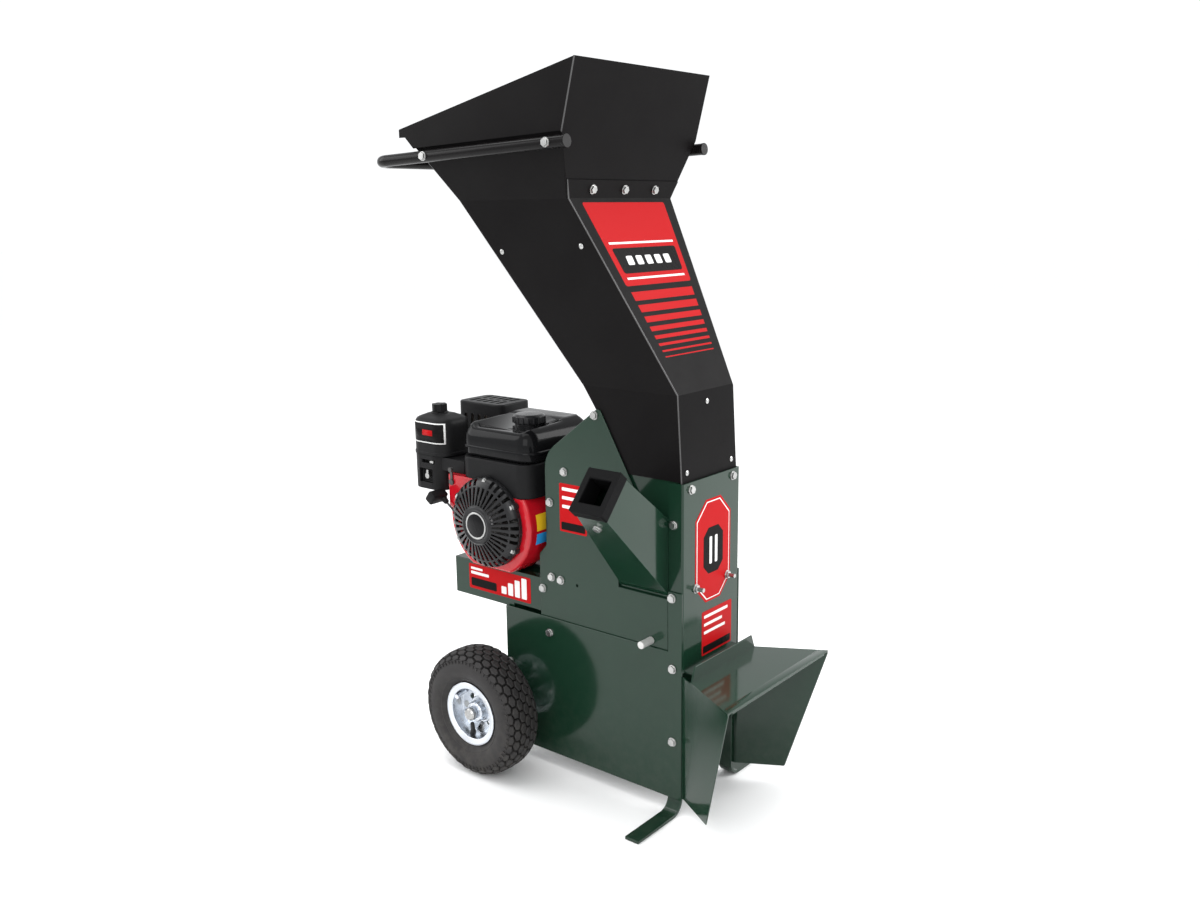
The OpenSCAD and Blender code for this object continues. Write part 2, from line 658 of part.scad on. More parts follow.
module rim() difference() {
  spun_x(axle_y, axle_z) translate([0, -wheel_x]) difference() {
    union() {
      translate([axle_r + run_fit, -hub_half]) square([hub_wall, 2 * hub_half]);
      translate([axle_r + hub_wall, -2]) square([bead_r - axle_r - hub_wall, 4]);
      for (s = [-1, 1]) polygon([
        [bead_r - 3, 0], [bead_r - 3, s * rim_half], [rim_r - 3, s * (rim_half + 3)], [rim_r, s * (rim_half + 1)],
        [rim_r, s * (rim_half - 1.5)], [rim_r - 3, s * (rim_half - 0.8)], [bead_r, s * (rim_half - 3)], [bead_r, 0]
      ]);
    }
  }
  translate([-wheel_x, axle_y, axle_z]) for (i = [0 : 3]) rotate([45 + 90 * i, 0, 0])
    translate([-5, 0, (bead_r + axle_r) / 2]) rotate([0, 90, 0]) cylinder(r = 7, h = 10);
}
module wheel_rim() {
  rim();
  translate([-wheel_x, axle_y, axle_z]) rotate([-55, 0, 0]) translate([-5, 0, bead_r - 5]) rotate([0, -98, 0]) {
    cylinder(r = 4, h = 18);
    translate([0, 0, 17]) cylinder(r = 5, h = 10);
  }
}
module left_tyre() color("dimgray") tyre();
module right_tyre() color("dimgray") right_side() tyre();
module left_rim() color("silver") wheel_rim();
module right_rim() color("silver") right_side() wheel_rim();

// Hopper
module across_profile(x_top) polygon([
  [-throat_x, tuck_z], [-throat_x, lower_fold_z], [-neck_w / 2, upper_fold_z], [-x_top, flare_z], [-x_top, rim_z + 5],
  [x_top, rim_z + 5], [x_top, flare_z], [neck_w / 2, upper_fold_z], [throat_x, lower_fold_z], [throat_x, tuck_z]
]);
module neck_bolt_places() {
  for (x = joint_bolts) translate([x, head_front_y(upper_fold_z + joint_h / 2), upper_fold_z + joint_h / 2])
    rotate([90 + atan(front_lean), 0, 0]) children();
}
module front_rivet_places() for (p = front_rivets)
  translate([p[0], neck_face_y(p[1]), p[1]]) rotate([90 - atan(neck_lean), 0, 0]) children();
module side_rivet_places() both_sides() for (p = side_rivets)
  translate([-neck_side_x(p[1]), p[0], p[1]]) rotate([0, -90 - atan(neck_flare), 0]) children();
module handle_bolt_places() both_sides() for (y = handle_bolts)
  translate([-handle_x - tube_r, handle_front_y + y * cos(handle_fall), handle_front_z - y * sin(handle_fall)])
    rotate([0, -90, 0]) children();
module hopper_neck() color([0.1, 0.1, 0.1]) difference() {
  union() {
    intersection() {
      both_sides() along_y(0, rim_rear_y) folded([
        [-throat_x, neck_foot_z], [-throat_x, lower_fold_z], [-neck_w / 2, upper_fold_z], [-head_in_x, flare_z],
        [-head_in_x, flare_z + neck_lap]
      ], -hopper_t);
      along_x(-mouth_w, 2 * mouth_w) polygon([
        [neck_face_y(neck_foot_z) + hopper_t / 2, neck_foot_z], [lower_fold_y + hopper_t / 2, lower_fold_z],
        [upper_fold_y + hopper_t / 2, upper_fold_z], [head_front_y(upper_fold_z) + head_gap, upper_fold_z + 1],
        [head_front_y(flare_z + neck_lap) + head_gap, flare_z + neck_lap], [chute_top_y + 12, flare_z + neck_lap],
        [chute_top_y, chute_top_z], [chute_low_y, chute_low_z], [apex_y - 60, neck_foot_z]
      ]);
    }
    intersection() {
      along_x(-mouth_w, 2 * mouth_w) union() {
        folded([[neck_foot_y, tuck_z], [lower_fold_y, lower_fold_z], [upper_fold_y, upper_fold_z],
          [head_front_y(upper_fold_z + joint_h), upper_fold_z + joint_h]], -hopper_t);
        folded([[chute_low_y, chute_low_z], [chute_top_y, chute_top_z], [chute_top_y + 16, chute_top_z + 22],
          [rim_rear_y, chute_top_z + 22]], hopper_t);
      }
      along_y(-1, rim_rear_y + 2) across_profile(head_in_x);
    }
  }
  for (p = front_bolts) translate([p[0], -1, p[1]]) rotate([-90, 0, 0]) cylinder(r = bolt_r + fit, h = 20);
  neck_bolt_places() translate([0, 0, -bolt_len]) cylinder(r = bolt_r + fit, h = 2 * bolt_len);
  front_rivet_places() translate([0, 0, -9]) cylinder(r = rivet_r / 2 + fit, h = 18);
  side_rivet_places() translate([0, 0, -9]) cylinder(r = rivet_r / 2 + fit, h = 18);
  handle_bolt_places() translate([0, 0, -handle_bolt_len - 6]) cylinder(r = bolt_r + fit, h = handle_bolt_len + 6);
}
module hopper_head() color([0.1, 0.1, 0.1]) difference() {
  union() {
    intersection() {
      along_x(-mouth_w, 2 * mouth_w) folded([
        [head_front_y(upper_fold_z + 3) + head_set, upper_fold_z + 3], [head_front_y(rim_z) + head_set, rim_z]
      ], -hopper_t);
      along_y(-1, rim_rear_y + 2) across_profile(mouth_w / 2);
    }
    both_sides() along_x(-mouth_w / 2, hopper_t) polygon([
      [head_front_y(flare_z) + head_set, flare_z], [chute_top_y, chute_top_z], [chute_top_y + 22, chute_top_z + 21],
      [rim_rear_y, chute_top_z + 21], [rim_rear_y, rim_rear_z], [head_front_y(rim_z) + head_set, rim_z]
    ]);
  }
  neck_bolt_places() translate([0, 0, -bolt_len]) cylinder(r = bolt_r + fit, h = 2 * bolt_len);
}
// The bends are a little thicker than the straight runs, which end inside them
module tube_path(r, over) {
  for (s = [-1, 1]) {
    translate([s * handle_x, -over, 0]) rotate([-90, 0, 0]) cylinder(r = r, h = handle_len - handle_bend_r + over + 1);
    translate([s * (handle_x - handle_bend_r), handle_len - handle_bend_r, 0]) rotate([0, 0, s > 0 ? 0 : 90])
      rotate_extrude(angle = 90) translate([handle_bend_r, 0]) circle(r + 0.1);
  }
  translate([handle_bend_r - handle_x - 1, handle_len, 0]) rotate([0, 90, 0])
    cylinder(r = r, h = 2 * (handle_x - handle_bend_r) + 2);
}
module handle_tube() color([0.1, 0.1, 0.1]) difference() {
  translate([0, handle_front_y, handle_front_z]) rotate([-handle_fall, 0, 0]) {
    difference() {
      tube_path(tube_r, 0);
      tube_path(tube_r - tube_wall, 1);
    }
    for (s = [-1, 1]) translate([s * handle_x, -4, 0]) rotate([-90, 0, 0]) {
      cylinder(r = tube_r + cap_lip, h = 5);
      cylinder(r = tube_r - tube_wall - fit, h = 16);
    }
  }
  handle_bolt_places() translate([0, 0, -3 * tube_d]) cylinder(r = bolt_r + fit, h = 4 * tube_d);
}
module hopper_fasteners() color("silver") {
  neck_bolt_places() flange_bolt(bolt_len * 0.6);
  front_rivet_places() rivet(hopper_t);
  side_rivet_places() rivet(hopper_t);
  handle_bolt_places() flange_bolt(handle_bolt_len);
}

// Chipper chute and its collar, in the collar's own frame: Z points out of the mouth
module collar_frame() translate([-collar_x, chute_front_y + collar_w / 2, collar_z])
  rotate([0, chute_slope - 90, 0]) children();
module chute_body(inset, over) hull() {
  collar_frame() translate([inset + chute_step - collar_h / 2, inset + chute_step - collar_w / 2, -collar_t - 2 + over])
    cube([collar_h - 2 * (inset + chute_step), collar_w - 2 * (inset + chute_step), 2]);
  translate([-case_x - 2 + over, chute_front_y + inset, chute_base_z + inset])
    cube([2, chute_base_w - 2 * inset, chute_base_h - 2 * inset]);
}
function wall_spread(z, s) = max([for (e = [0, 2])
  let (dx = collar_x - case_x - e, dz = z - collar_z, out = dx * sin(chute_slope) + dz * cos(chute_slope),
    back = dx * cos(chute_slope) - dz * sin(chute_slope))
  (s * out - collar_h / 2 + chute_step) / (back - collar_t)]);
module chute_bolt_places() collar_frame() for (s = [-1, 1])
  let (k = wall_spread(s > 0 ? chute_base_z + chute_base_h : chute_base_z, s))
    translate([s * (collar_h / 2 - chute_step + k * chute_bolt_d + fit), 4, -collar_t - chute_bolt_d])
      rotate([0, s * (90 - atan(k)), 0]) children();
module chipper_chute() color("darkgreen") difference() {
  chute_body(0, 0);
  chute_body(sheet_t, 0.5);
  chute_bolt_places() translate([0, 0, -sheet_t - 6]) cylinder(r = bolt_r + fit, h = 20);
}
module chute_collar() color([0.1, 0.1, 0.1]) collar_frame() difference() {
  union() {
    translate([-collar_h / 2, -collar_w / 2, -collar_t]) linear_extrude(collar_t) round_rect(collar_h, collar_w, 4);
    translate([sleeve_in - collar_h / 2, sleeve_in - collar_w / 2, -collar_t - sleeve_l])
      cube([collar_h - 2 * sleeve_in, collar_w - 2 * sleeve_in, sleeve_l + 1]);
  }
  translate([-collar_bore / 2, -collar_bore / 2, -collar_t - sleeve_l - 1])
    cube([collar_bore, collar_bore, collar_t + sleeve_l + 2]);
}

// Discharge deflector
function deflector_x(y) = side_x + (-1 - y) * (deflector_w / 2 - side_x) / (deflector_reach - 1);
module deflector() color("darkgreen") difference() {
  union() {
    translate([0, 0, deflector_low_z]) linear_extrude(deflector_z - deflector_low_z) both_sides() folded([
      [-side_x, flange_d], [-side_x, -1], [-deflector_w / 2, -deflector_reach]
    ], sheet_t);
    translate([0, 0, deflector_z]) linear_extrude(sheet_t) polygon([
      [-deflector_x(-shelf_d), -shelf_d], [-deflector_w / 2, -deflector_reach], [deflector_w / 2, -deflector_reach],
      [deflector_x(-shelf_d), -shelf_d]
    ]);
    translate([-deflector_w / 2 + hem_w, -deflector_reach, deflector_z - sheet_t])
      cube([deflector_w - 2 * hem_w, hem_w, sheet_t + 0.5]);
    along_y(-shelf_d - sheet_t, sheet_t) polygon([
      [-deflector_x(-shelf_d), deflector_z], [deflector_x(-shelf_d), deflector_z],
      [deflector_x(-shelf_d) - 12, deflector_z + sheet_t + lip_h], [12 - deflector_x(-shelf_d), deflector_z + sheet_t + lip_h]
    ]);
  }
  along_x(-deflector_w, 2 * deflector_w) polygon([
    [-3 * deflector_reach, 0], [-deflector_foot + cut_run, 0],
    [-deflector_reach, deflector_z - sheet_t - 1], [-deflector_reach, deflector_z + 2 * sheet_t],
    [-3 * deflector_reach, deflector_z + 2 * sheet_t]
  ]);
  both_sides() for (p = deflector_bolts) hole_left(p);
}

// Rotor on its cartridge
module bearing_cartridge() color("gray") difference() {
  spun_x(rotor_y, rotor_z) polygon([
    [bearing_r - 4, cartridge_x0 + bearing_w], [bearing_r, cartridge_x0 + bearing_w], [bearing_r, cartridge_x0],
    [cartridge_r, cartridge_x0], [cartridge_r, side_x], [cartridge_flange_r, side_x], [cartridge_flange_r, side_x + 8],
    [cartridge_r, side_x + 8], [cartridge_r, cartridge_x1], [bearing_r, cartridge_x1],
    [bearing_r, cartridge_x1 - bearing_w], [bearing_r - 4, cartridge_x1 - bearing_w]
  ]);
  cartridge_bolt_places() translate([0, 0, -20]) cylinder(r = bolt_r + fit, h = 40);
}
module cartridge_bolt_places() for (i = [0 : 3]) translate([side_x + 8, rotor_y, rotor_z]) rotate([45 + 90 * i, 0, 0])
  translate([0, 0, (cartridge_flange_r + cartridge_r) / 2]) rotate([0, 90, 0]) children();
module cartridge_bearings() color("silver") for (x = [cartridge_x0, cartridge_x1 - bearing_w]) difference() {
  rod_x(x + run_fit, x + bearing_w - run_fit, rotor_y, rotor_z, bearing_r - run_fit);
  rod_x(x - 1, x + bearing_w + 1, rotor_y, rotor_z, shaft_r + run_fit);
  spun_x(rotor_y, rotor_z) for (s = [0, 1])
    translate([shaft_r + 4, x + s * (bearing_w - 1.5)]) square([bearing_r - shaft_r - 8, 1.5]);
}
module rotor_shaft() color("silver") {
  rod_x(disc_x + 1, shaft_end_x, rotor_y, rotor_z, shaft_r);
  rod_x(disc_x - 5, disc_x - 0.5, rotor_y, rotor_z, shaft_r + 6);
  rod_x(disc_x - 5, disc_x + 2, rotor_y, rotor_z, shaft_r - 3);
}
module knife_bolt_places() for (y = [0.22, 0.78])
  translate([0, shaft_r + 20 + y * knife_l, knife_w * 0.6]) rotate([0, 90, 0]) children();
module knife_disc() color("gray") difference() {
  union() {
    rod_x(disc_x, disc_x + disc_t, rotor_y, rotor_z, rotor_r);
    rod_x(disc_x + disc_t - 1, cartridge_x0 - 4, rotor_y, rotor_z, shaft_r + 16);
  }
  rod_x(disc_x - 1, cartridge_x0, rotor_y, rotor_z, shaft_r + run_fit);
  translate([disc_x, rotor_y, rotor_z]) for (a = [0, 180]) rotate([a, 0, 0]) {
    translate([-1, shaft_r + 22, -chip_slot]) cube([disc_t + 2, knife_l - 4, chip_slot]);
    knife_bolt_places() translate([0, 0, -1]) cylinder(r = bolt_r + fit, h = disc_t + 2);
  }
}
module chipper_knives() color("silver") translate([disc_x, rotor_y, rotor_z]) for (a = [0, 180]) rotate([a, 0, 0]) {
  translate([0, shaft_r + 20, 0]) rotate([-90, 0, 0]) linear_extrude(knife_l)
    polygon([[0, 0], [-knife_t, 4], [-knife_t, -knife_w], [0, -knife_w]]);
  knife_bolt_places() {
    translate([0, 0, -1]) cylinder(r = bolt_r, h = disc_t + 1);
    translate([0, 0, disc_t]) cylinder(r = bolt_hex_r, h = bolt_head_h, $fn = 6);
  }
}
module shredder_drum() color("gray") {
  for (i = [0 : 3]) translate([disc_x + disc_t, rotor_y, rotor_z]) rotate([45 + 90 * i, 0, 0])
    translate([0, rotor_r - 44, -5]) cube([drum_end_x - disc_x - disc_t + 1, 36, 10]);
  difference() {
    rod_x(drum_end_x, drum_end_x + 6, rotor_y, rotor_z, rotor_r - 2);
    rod_x(drum_end_x - 1, drum_end_x + 7, rotor_y, rotor_z, rotor_r - 46);
  }
}
module pulley(y, z, r, bore) spun_x(y, z) polygon([
  [bore, pulley_x], [bore + 12, pulley_x], [bore + 12, pulley_x + 4], [r - belt_t - 8, pulley_x + 4],
  [r - belt_t - 6, pulley_x], [r, pulley_x], [r, pulley_x + pulley_w / 2 - belt_w0 / 2 - 0.4],
  [r - belt_t - 0.5, pulley_x + pulley_w / 2 - belt_w1 / 2 - 0.4], [r - belt_t - 0.5, pulley_x + pulley_w / 2 + belt_w1 / 2 + 0.4],
  [r, pulley_x + pulley_w / 2 + belt_w0 / 2 + 0.4], [r, pulley_x + pulley_w], [r - belt_t - 6, pulley_x + pulley_w],
  [r - belt_t - 8, pulley_x + pulley_w - 4], [bore + 12, pulley_x + pulley_w - 4], [bore + 12, pulley_x + pulley_w],
  [bore, pulley_x + pulley_w]
]);
module driven_pulley() color("gray") pulley(rotor_y, rotor_z, driven_r, shaft_r + run_fit);
module drive_pulley() color("gray") pulley(crank_y, crank_z, drive_r, crank_r + run_fit);
module loop_outline(ra, rb) {
  t = wrap(ra, rb);
  translate([rotor_y, rotor_z]) circle(ra);
  translate([crank_y, crank_z]) circle(rb);
  polygon([for (s = [-1, 1]) each s < 0
    ? [[rotor_y, rotor_z] + ra * [cos(drive_a - t), sin(drive_a - t)], [crank_y, crank_z] + rb * [cos(drive_a - t), sin(drive_a - t)]]
    : [[crank_y, crank_z] + rb * [cos(drive_a + t), sin(drive_a + t)], [rotor_y, rotor_z] + ra * [cos(drive_a + t), sin(drive_a + t)]]]);
}
// The belt's section, grown a little on the pulleys so that the straight runs end inside the arcs
module belt_section(r, grow) polygon([
  [r - belt_t - grow, -belt_w1 / 2 - grow], [r + grow, -belt_w0 / 2 - grow],
  [r + grow, belt_w0 / 2 + grow], [r - belt_t - grow, belt_w1 / 2 + grow]
]);
module drive_belt() color([0.12, 0.12, 0.12]) translate([pulley_x + pulley_w / 2, 0, 0]) rotate([90, 0, 90]) {
  t = wrap(driven_r, drive_r);
  run = sqrt(norm(drive_run) ^ 2 - (driven_r - drive_r) ^ 2);
  translate([rotor_y, rotor_z, 0]) {
    rotate([0, 0, drive_a + t]) rotate_extrude(angle = 360 - 2 * t) belt_section(driven_r, 0.1);
    rotate([0, 0, drive_a + t]) translate([0, 1, 0]) rotate([90, 0, 0]) linear_extrude(run + 2) belt_section(driven_r, 0);
    rotate([0, 0, drive_a - t]) translate([0, run + 1, 0]) rotate([90, 0, 0]) linear_extrude(run + 2) belt_section(driven_r, 0);
  }
  translate([crank_y, crank_z, 0]) rotate([0, 0, drive_a - t]) rotate_extrude(angle = 2 * t) belt_section(drive_r, 0.1);
}
module belt_guard() color("darkgreen") {
  difference() {
    along_x(guard_x, shaft_end_x + 6 - guard_x) loop_outline(driven_r + guard_gap, drive_r + guard_gap);
    along_x(guard_x - 1, shaft_end_x + 4 - guard_x) loop_outline(driven_r + guard_gap - 2, drive_r + guard_gap - 2);
    along_x(guard_x - 1, shaft_end_x + 8 - guard_x) for (i = [1 : 3])
      translate([rotor_y, rotor_z] + drive_run * (0.18 + i * 0.16)) rotate(drive_a + 90) translate([-26, -5]) round_rect(52, 10, 4.9);
  }
  for (a = [110, 250]) translate([side_x, rotor_y, rotor_z]) rotate([a - 90, 0, 0])
    translate([0, -12, driven_r + guard_gap - 1]) cube([guard_x - side_x + 14, 24, 3]);
}

// Engine castings
module cylinder_frame() translate([cylinder_x, crank_y, crank_z]) rotate([tilt, 0, 0]) children();
module mount_places() for (i = [-1, 1], j = [-1, 1])
  translate([mount_mid_x + i * mount_x / 2, crank_y + j * mount_y / 2, bench_z + foot_t]) children();
module crankcase() color("gray") difference() {
  union() {
    along_x(case0_x, case1_x - case0_x) polygon(rounded([
      [crank_y - 72, bench_z + foot_t - 1], [crank_y + 72, bench_z + foot_t - 1], [crank_y + 84, crank_z + 10, 12],
      [crank_y + 50, crank_z + 56, 14], [crank_y - 40, crank_z + 56, 20], [crank_y - 76, crank_z + 20, 20]
    ]));
    along_x(shroud_x1 - 4, 4) blower_outline(shroud_t + fit);
    rod_x(shroud_x1 - 1, case0_x + 1, crank_y, crank_z, 50);
    translate([mount_mid_x - mount_x / 2 - 12, crank_y - mount_y / 2 - 13, bench_z])
      cube([mount_x + 24, mount_y + 26, foot_t]);
    cylinder_frame() {
      translate([-barrel_w / 2 + 8, 40, -barrel_h / 2 + 8]) cube([barrel_w - 16, barrel_l - 40, barrel_h - 16]);
      for (i = [0 : fin_count - 1]) translate([-barrel_w / 2, barrel_l - 4 - i * 8, -barrel_h / 2])
        cube([barrel_w, 3.5, barrel_h]);
    }
  }
  rod_x(shroud_x1 - 5, case1_x + 1, crank_y, crank_z, crank_r + run_fit);
  mount_places() translate([0, 0, -foot_t - 1]) cylinder(r = bolt_r + fit, h = foot_t + 60);
  oil_frame() translate([0, 0, -18]) cylinder(r = oil_r + fit, h = 60);
}
module crankcase_cover() color("gray") difference() {
  union() {
    spun_x(crank_y, crank_z) polygon([
      [0, case1_x], [cover_r, case1_x], [cover_r, case1_x + 6], [cover_r - 8, case1_x + 9], [34, case1_x + 9],
      [24, pto_x], [0, pto_x]
    ]);
    for (i = [0 : 5]) translate([case1_x, crank_y, crank_z]) rotate([30 + 60 * i, 0, 0])
      translate([0, 0, cover_r - 3]) rotate([0, 90, 0]) cylinder(r = 9, h = 8);
    for (i = [0 : 5]) translate([case1_x + 5, crank_y, crank_z]) rotate([60 * i, 0, 0])
      translate([0, -2, 26]) cube([7, 4, cover_r - 34]);
  }
  rod_x(case1_x - 1, pto_x + 1, crank_y, crank_z, crank_r + run_fit);
}
module cylinder_head() color("gray") cylinder_frame() {
  for (i = [0 : 2]) translate([-barrel_w / 2, barrel_l + fit + i * 9, -barrel_h / 2]) cube([barrel_w, 4, barrel_h]);
  translate([-barrel_w / 2 + 5, barrel_l + fit, -barrel_h / 2 + 5]) cube([barrel_w - 10, head_l, barrel_h - 10]);
  translate([-valve_w / 2 + 8, barrel_l + head_l, -valve_h / 2]) rotate([-90, 0, 0]) translate([0, -valve_h, 0])
    linear_extrude(valve_l) round_rect(valve_w - 8, valve_h, 14);
}
module crankshaft() color("silver") rod_x(flywheel_x - 6, shaft_end_x, crank_y, crank_z, crank_r);
module flywheel_fan() color("gray") difference() {
  union() {
    rod_x(flywheel_x + 28, flywheel_x + 40, crank_y, crank_z, fan_r);
    rod_x(flywheel_x, flywheel_x + 29, crank_y, crank_z, 26);
    for (i = [0 : fan_blades - 1]) translate([flywheel_x + 4, crank_y, crank_z]) rotate([i * 360 / fan_blades, 0, 0])
      translate([0, -1.5, 40]) rotate([18, 0, 0]) cube([25, 3, 34]);
  }
  rod_x(flywheel_x - 1, flywheel_x + 41, crank_y, crank_z, crank_r + run_fit);
}

// Engine covers
module blower_outline(inset) {
  intersection() {
    translate([crank_y, crank_z]) circle(blower_r - inset);
    translate([crank_y - 2 * blower_r, bench_z + 5 + inset])
      square([4 * blower_r, cowl_z - fit - bench_z - 5 - 2 * inset]);
  }
  polygon([
    [crank_y + 20, crank_z - 40 + inset], [lobe_y - inset, crank_z + 16 + inset * 1.2], [lobe_y - inset, lobe_z - inset],
    [crank_y + 46, lobe_z - inset], [crank_y + 20, cowl_z - 2 * inset - fit]
  ]);
}
module blower_housing() color("crimson") difference() {
  along_x(shroud_x0, shroud_x1 - shroud_x0) blower_outline(0);
  along_x(shroud_x0 + shroud_t, shroud_x1 - shroud_x0) blower_outline(shroud_t);
  rod_x(shroud_x0 - 1, shroud_x0 + shroud_t + 1, crank_y, crank_z, recoil_r - 6);
  rod_x(shroud_x0 + shroud_t, shroud_x1 + 1, crank_y, crank_z, fan_r + 3);
}
module recoil_shell(inset) polygon([
  [0, shroud_x0 + (inset > 0 ? 1 : -fit)], [recoil_r - inset, shroud_x0 + (inset > 0 ? 1 : -fit)],
  [recoil_r - inset, shroud_x0 - 10], [recoil_r - 8 - inset * 0.7, shroud_x0 - 20 + inset],
  [46, recoil_face_x + 4 + inset], [38, recoil_face_x + inset], [0, recoil_face_x + inset]
]);
module recoil_cover() color([0.1, 0.1, 0.1]) difference() {
  union() {
    spun_x(crank_y, crank_z) recoil_shell(0);
    for (a = recoil_lugs) translate([shroud_x0 - fit - 6, crank_y, crank_z]) rotate([a - 90, 0, 0])
      translate([0, 0, recoil_r]) rotate([0, 90, 0]) cylinder(r = 9, h = 6);
  }
  spun_x(crank_y, crank_z) recoil_shell(2.5);
  translate([recoil_face_x - 2, crank_y, crank_z]) for (i = [0 : recoil_slots - 1]) rotate([i * 360 / recoil_slots, 0, 0])
    translate([0, -2.6, 47]) cube([30, 5.2, recoil_r - 60]);
  rope_frame() translate([0, 0, 40]) cylinder(r = rope_r + 1, h = 70);
}
module plan(x0, y0, x, y, r, inset) translate([x0 + inset, y0 + inset]) round_rect(x - 2 * inset, y - 2 * inset, r - inset);
module engine_cowl() color([0.12, 0.12, 0.12]) difference() {
  translate([0, 0, cowl_z]) linear_extrude(tank_z - cowl_z) plan(cowl_x0, tank_y0 - 2, tank_l + 8, tank_w + 4, tank_r, 0);
  translate([0, 0, cowl_z - 1]) linear_extrude(tank_z - cowl_z - 3) plan(cowl_x0, tank_y0 - 2, tank_l + 8, tank_w + 4, tank_r, 3);
  translate([cowl_x0 - 1, crank_y + 16, cowl_z - 1]) cube([tank_l + 10, tank_w, lobe_z + fit - cowl_z + 1]);
  translate([shroud_x1 - 8, crank_y + 16, cowl_z - 1]) cube([tank_l, tank_w, tank_z - cowl_z - 9]);
}
module fuel_tank() color([0.05, 0.05, 0.05]) difference() {
  union() {
    translate([0, 0, tank_z + fit]) linear_extrude(20) plan(tank_x0, tank_y0, tank_l, tank_w, tank_r, 2);
    translate([0, 0, tank_z + 18]) linear_extrude(6) plan(tank_x0, tank_y0, tank_l, tank_w, tank_r, -2);
    hull() {
      translate([0, 0, tank_z + 24]) linear_extrude(16) plan(tank_x0, tank_y0, tank_l, tank_w, tank_r, 0, $fn = 40);
      translate([0, 0, tank_top_z - 8]) linear_extrude(1) plan(tank_x0, tank_y0, tank_l, tank_w, tank_r, 9, $fn = 40);
      translate([0, 0, tank_top_z - 1]) linear_extrude(1) plan(tank_x0, tank_y0, tank_l, tank_w, tank_r, 18, $fn = 40);
    }
  }
  hull() {
    translate([0, 0, tank_top_z - 14]) linear_extrude(1) plan(tank_x0 - 30, tank_y0 + 18, tank_l - 36, tank_w - 52, 24, 8, $fn = 32);
    translate([0, 0, tank_top_z + 1]) linear_extrude(1) plan(tank_x0 - 30, tank_y0 + 18, tank_l - 36, tank_w - 52, 24, 0, $fn = 32);
  }
}
module tank_cap() color([0.08, 0.08, 0.08]) translate([cap_x, cap_y, tank_top_z - 13.7]) {
  rotate_extrude() polygon([
    [0, 0], [cap_d / 2 - 5, 0], [cap_d / 2 - 5, 6], [cap_d / 2 - 1.5, 7], [cap_d / 2 - 1.5, 20], [cap_d / 2 - 7, 24], [0, 26]
  ]);
  for (i = [0 : 17]) rotate(i * 20) translate([cap_d / 2 - 2, 0, 7]) cylinder(r = 2.4, h = 12);
}
module air_plan(inset, x0 = air_x0) translate([x0 + inset, air_y0 + inset]) round_rect(air_x - 2 * inset, air_y - 2 * inset, air_r - inset);
module air_cleaner_base() color([0.15, 0.15, 0.15]) difference() {
  union() {
    translate([0, 0, air_z0]) linear_extrude(air_split_z - air_z0) air_plan(1.5);
    translate([air_x0 + 11, tank_y0 + tank_w + 2 + fit, lobe_z + 2 * fit])
      cube([46, air_y0 + 18 - tank_y0 - tank_w - 2 - fit, air_split_z - lobe_z - 3]);
  }
  translate([air_x0 - 1, choke_y - 8, choke_z - 3.5]) cube([pocket_d + 1, choke_travel + 16, 7]);
  translate([air_x0 - 1, fuel_y - 20, fuel_z - 14]) cube([pocket_d + 1, 40, 30]);
}
module air_cleaner_cover() color([0.15, 0.15, 0.15]) difference() {
  union() {
    translate([0, 0, air_split_z + fit]) linear_extrude(air_top_z - 21 - air_split_z) air_plan(0);
    hull() {
      translate([0, 0, air_top_z - 22]) linear_extrude(1) air_plan(0, $fn = 40);
      translate([0, 0, air_top_z - 13]) linear_extrude(1) air_plan(5, $fn = 40);
      translate([0, 0, air_top_z - 2]) linear_extrude(2) air_plan(26, $fn = 40);
    }
  }
  translate([air_x0 + air_x / 2, air_y0 + air_y / 2, air_top_z - 12]) cylinder(r = 5 + fit, h = 20);
}
module air_cleaner_knob() color([0.1, 0.1, 0.1]) translate([air_x0 + air_x / 2, air_y0 + air_y / 2, air_top_z + fit]) {
  cylinder(r = 14, h = 16);
  translate([0, 0, -10]) cylinder(r = 5, h = 11);
  for (i = [0 : 5]) rotate(60 * i) translate([12.5, 0, 0]) cylinder(r = 4, h = 16);
}
module choke_lever() color("silver") translate([air_x0 + 2, choke_y - 3, choke_z - 2.5]) {
  cube([pocket_d - 2.4, 6, 5]);
  translate([-1, -2, 0.2]) cube([3, 10, 4.6]);
}
module fuel_lever() color("silver") translate([air_x0 + pocket_d - fit, fuel_y, fuel_z]) rotate([0, -90, 0]) {
  cylinder(r = 6, h = 8);
  translate([0, -3, 3]) cube([13, 6, 4]);
}
module throttle_lever() color("silver") translate([shroud_x0 - fit, throttle_y, throttle_z]) rotate([0, -90, 0]) {
  cylinder(r = 6, h = 4);
  translate([0, -3, 0]) cube([26, 6, 2.5]);
  translate([26, 0, 0]) cylinder(r = 5, h = 6);
}
module carburettor() color("gray") {
  difference() {
    translate([carb_x, carb_y, carb_z]) rotate([-90, 0, 0]) cylinder(r = 17, h = air_y0 - carb_y + 20);
    translate([0, 0, air_z0 - 1]) linear_extrude(air_split_z - air_z0 + 2) air_plan(1.5 - fit);
  }
  translate([carb_x, carb_y + 14, carb_z - 40]) cylinder(r = 15, h = 30);
  translate([carb_x - 18, carb_y + 2, carb_z - 16]) cube([36, 20, 32]);
  rod_x(carb_x, cylinder_x - barrel_w / 2 - fit, carb_y + 12, carb_z - 6, 11);
}
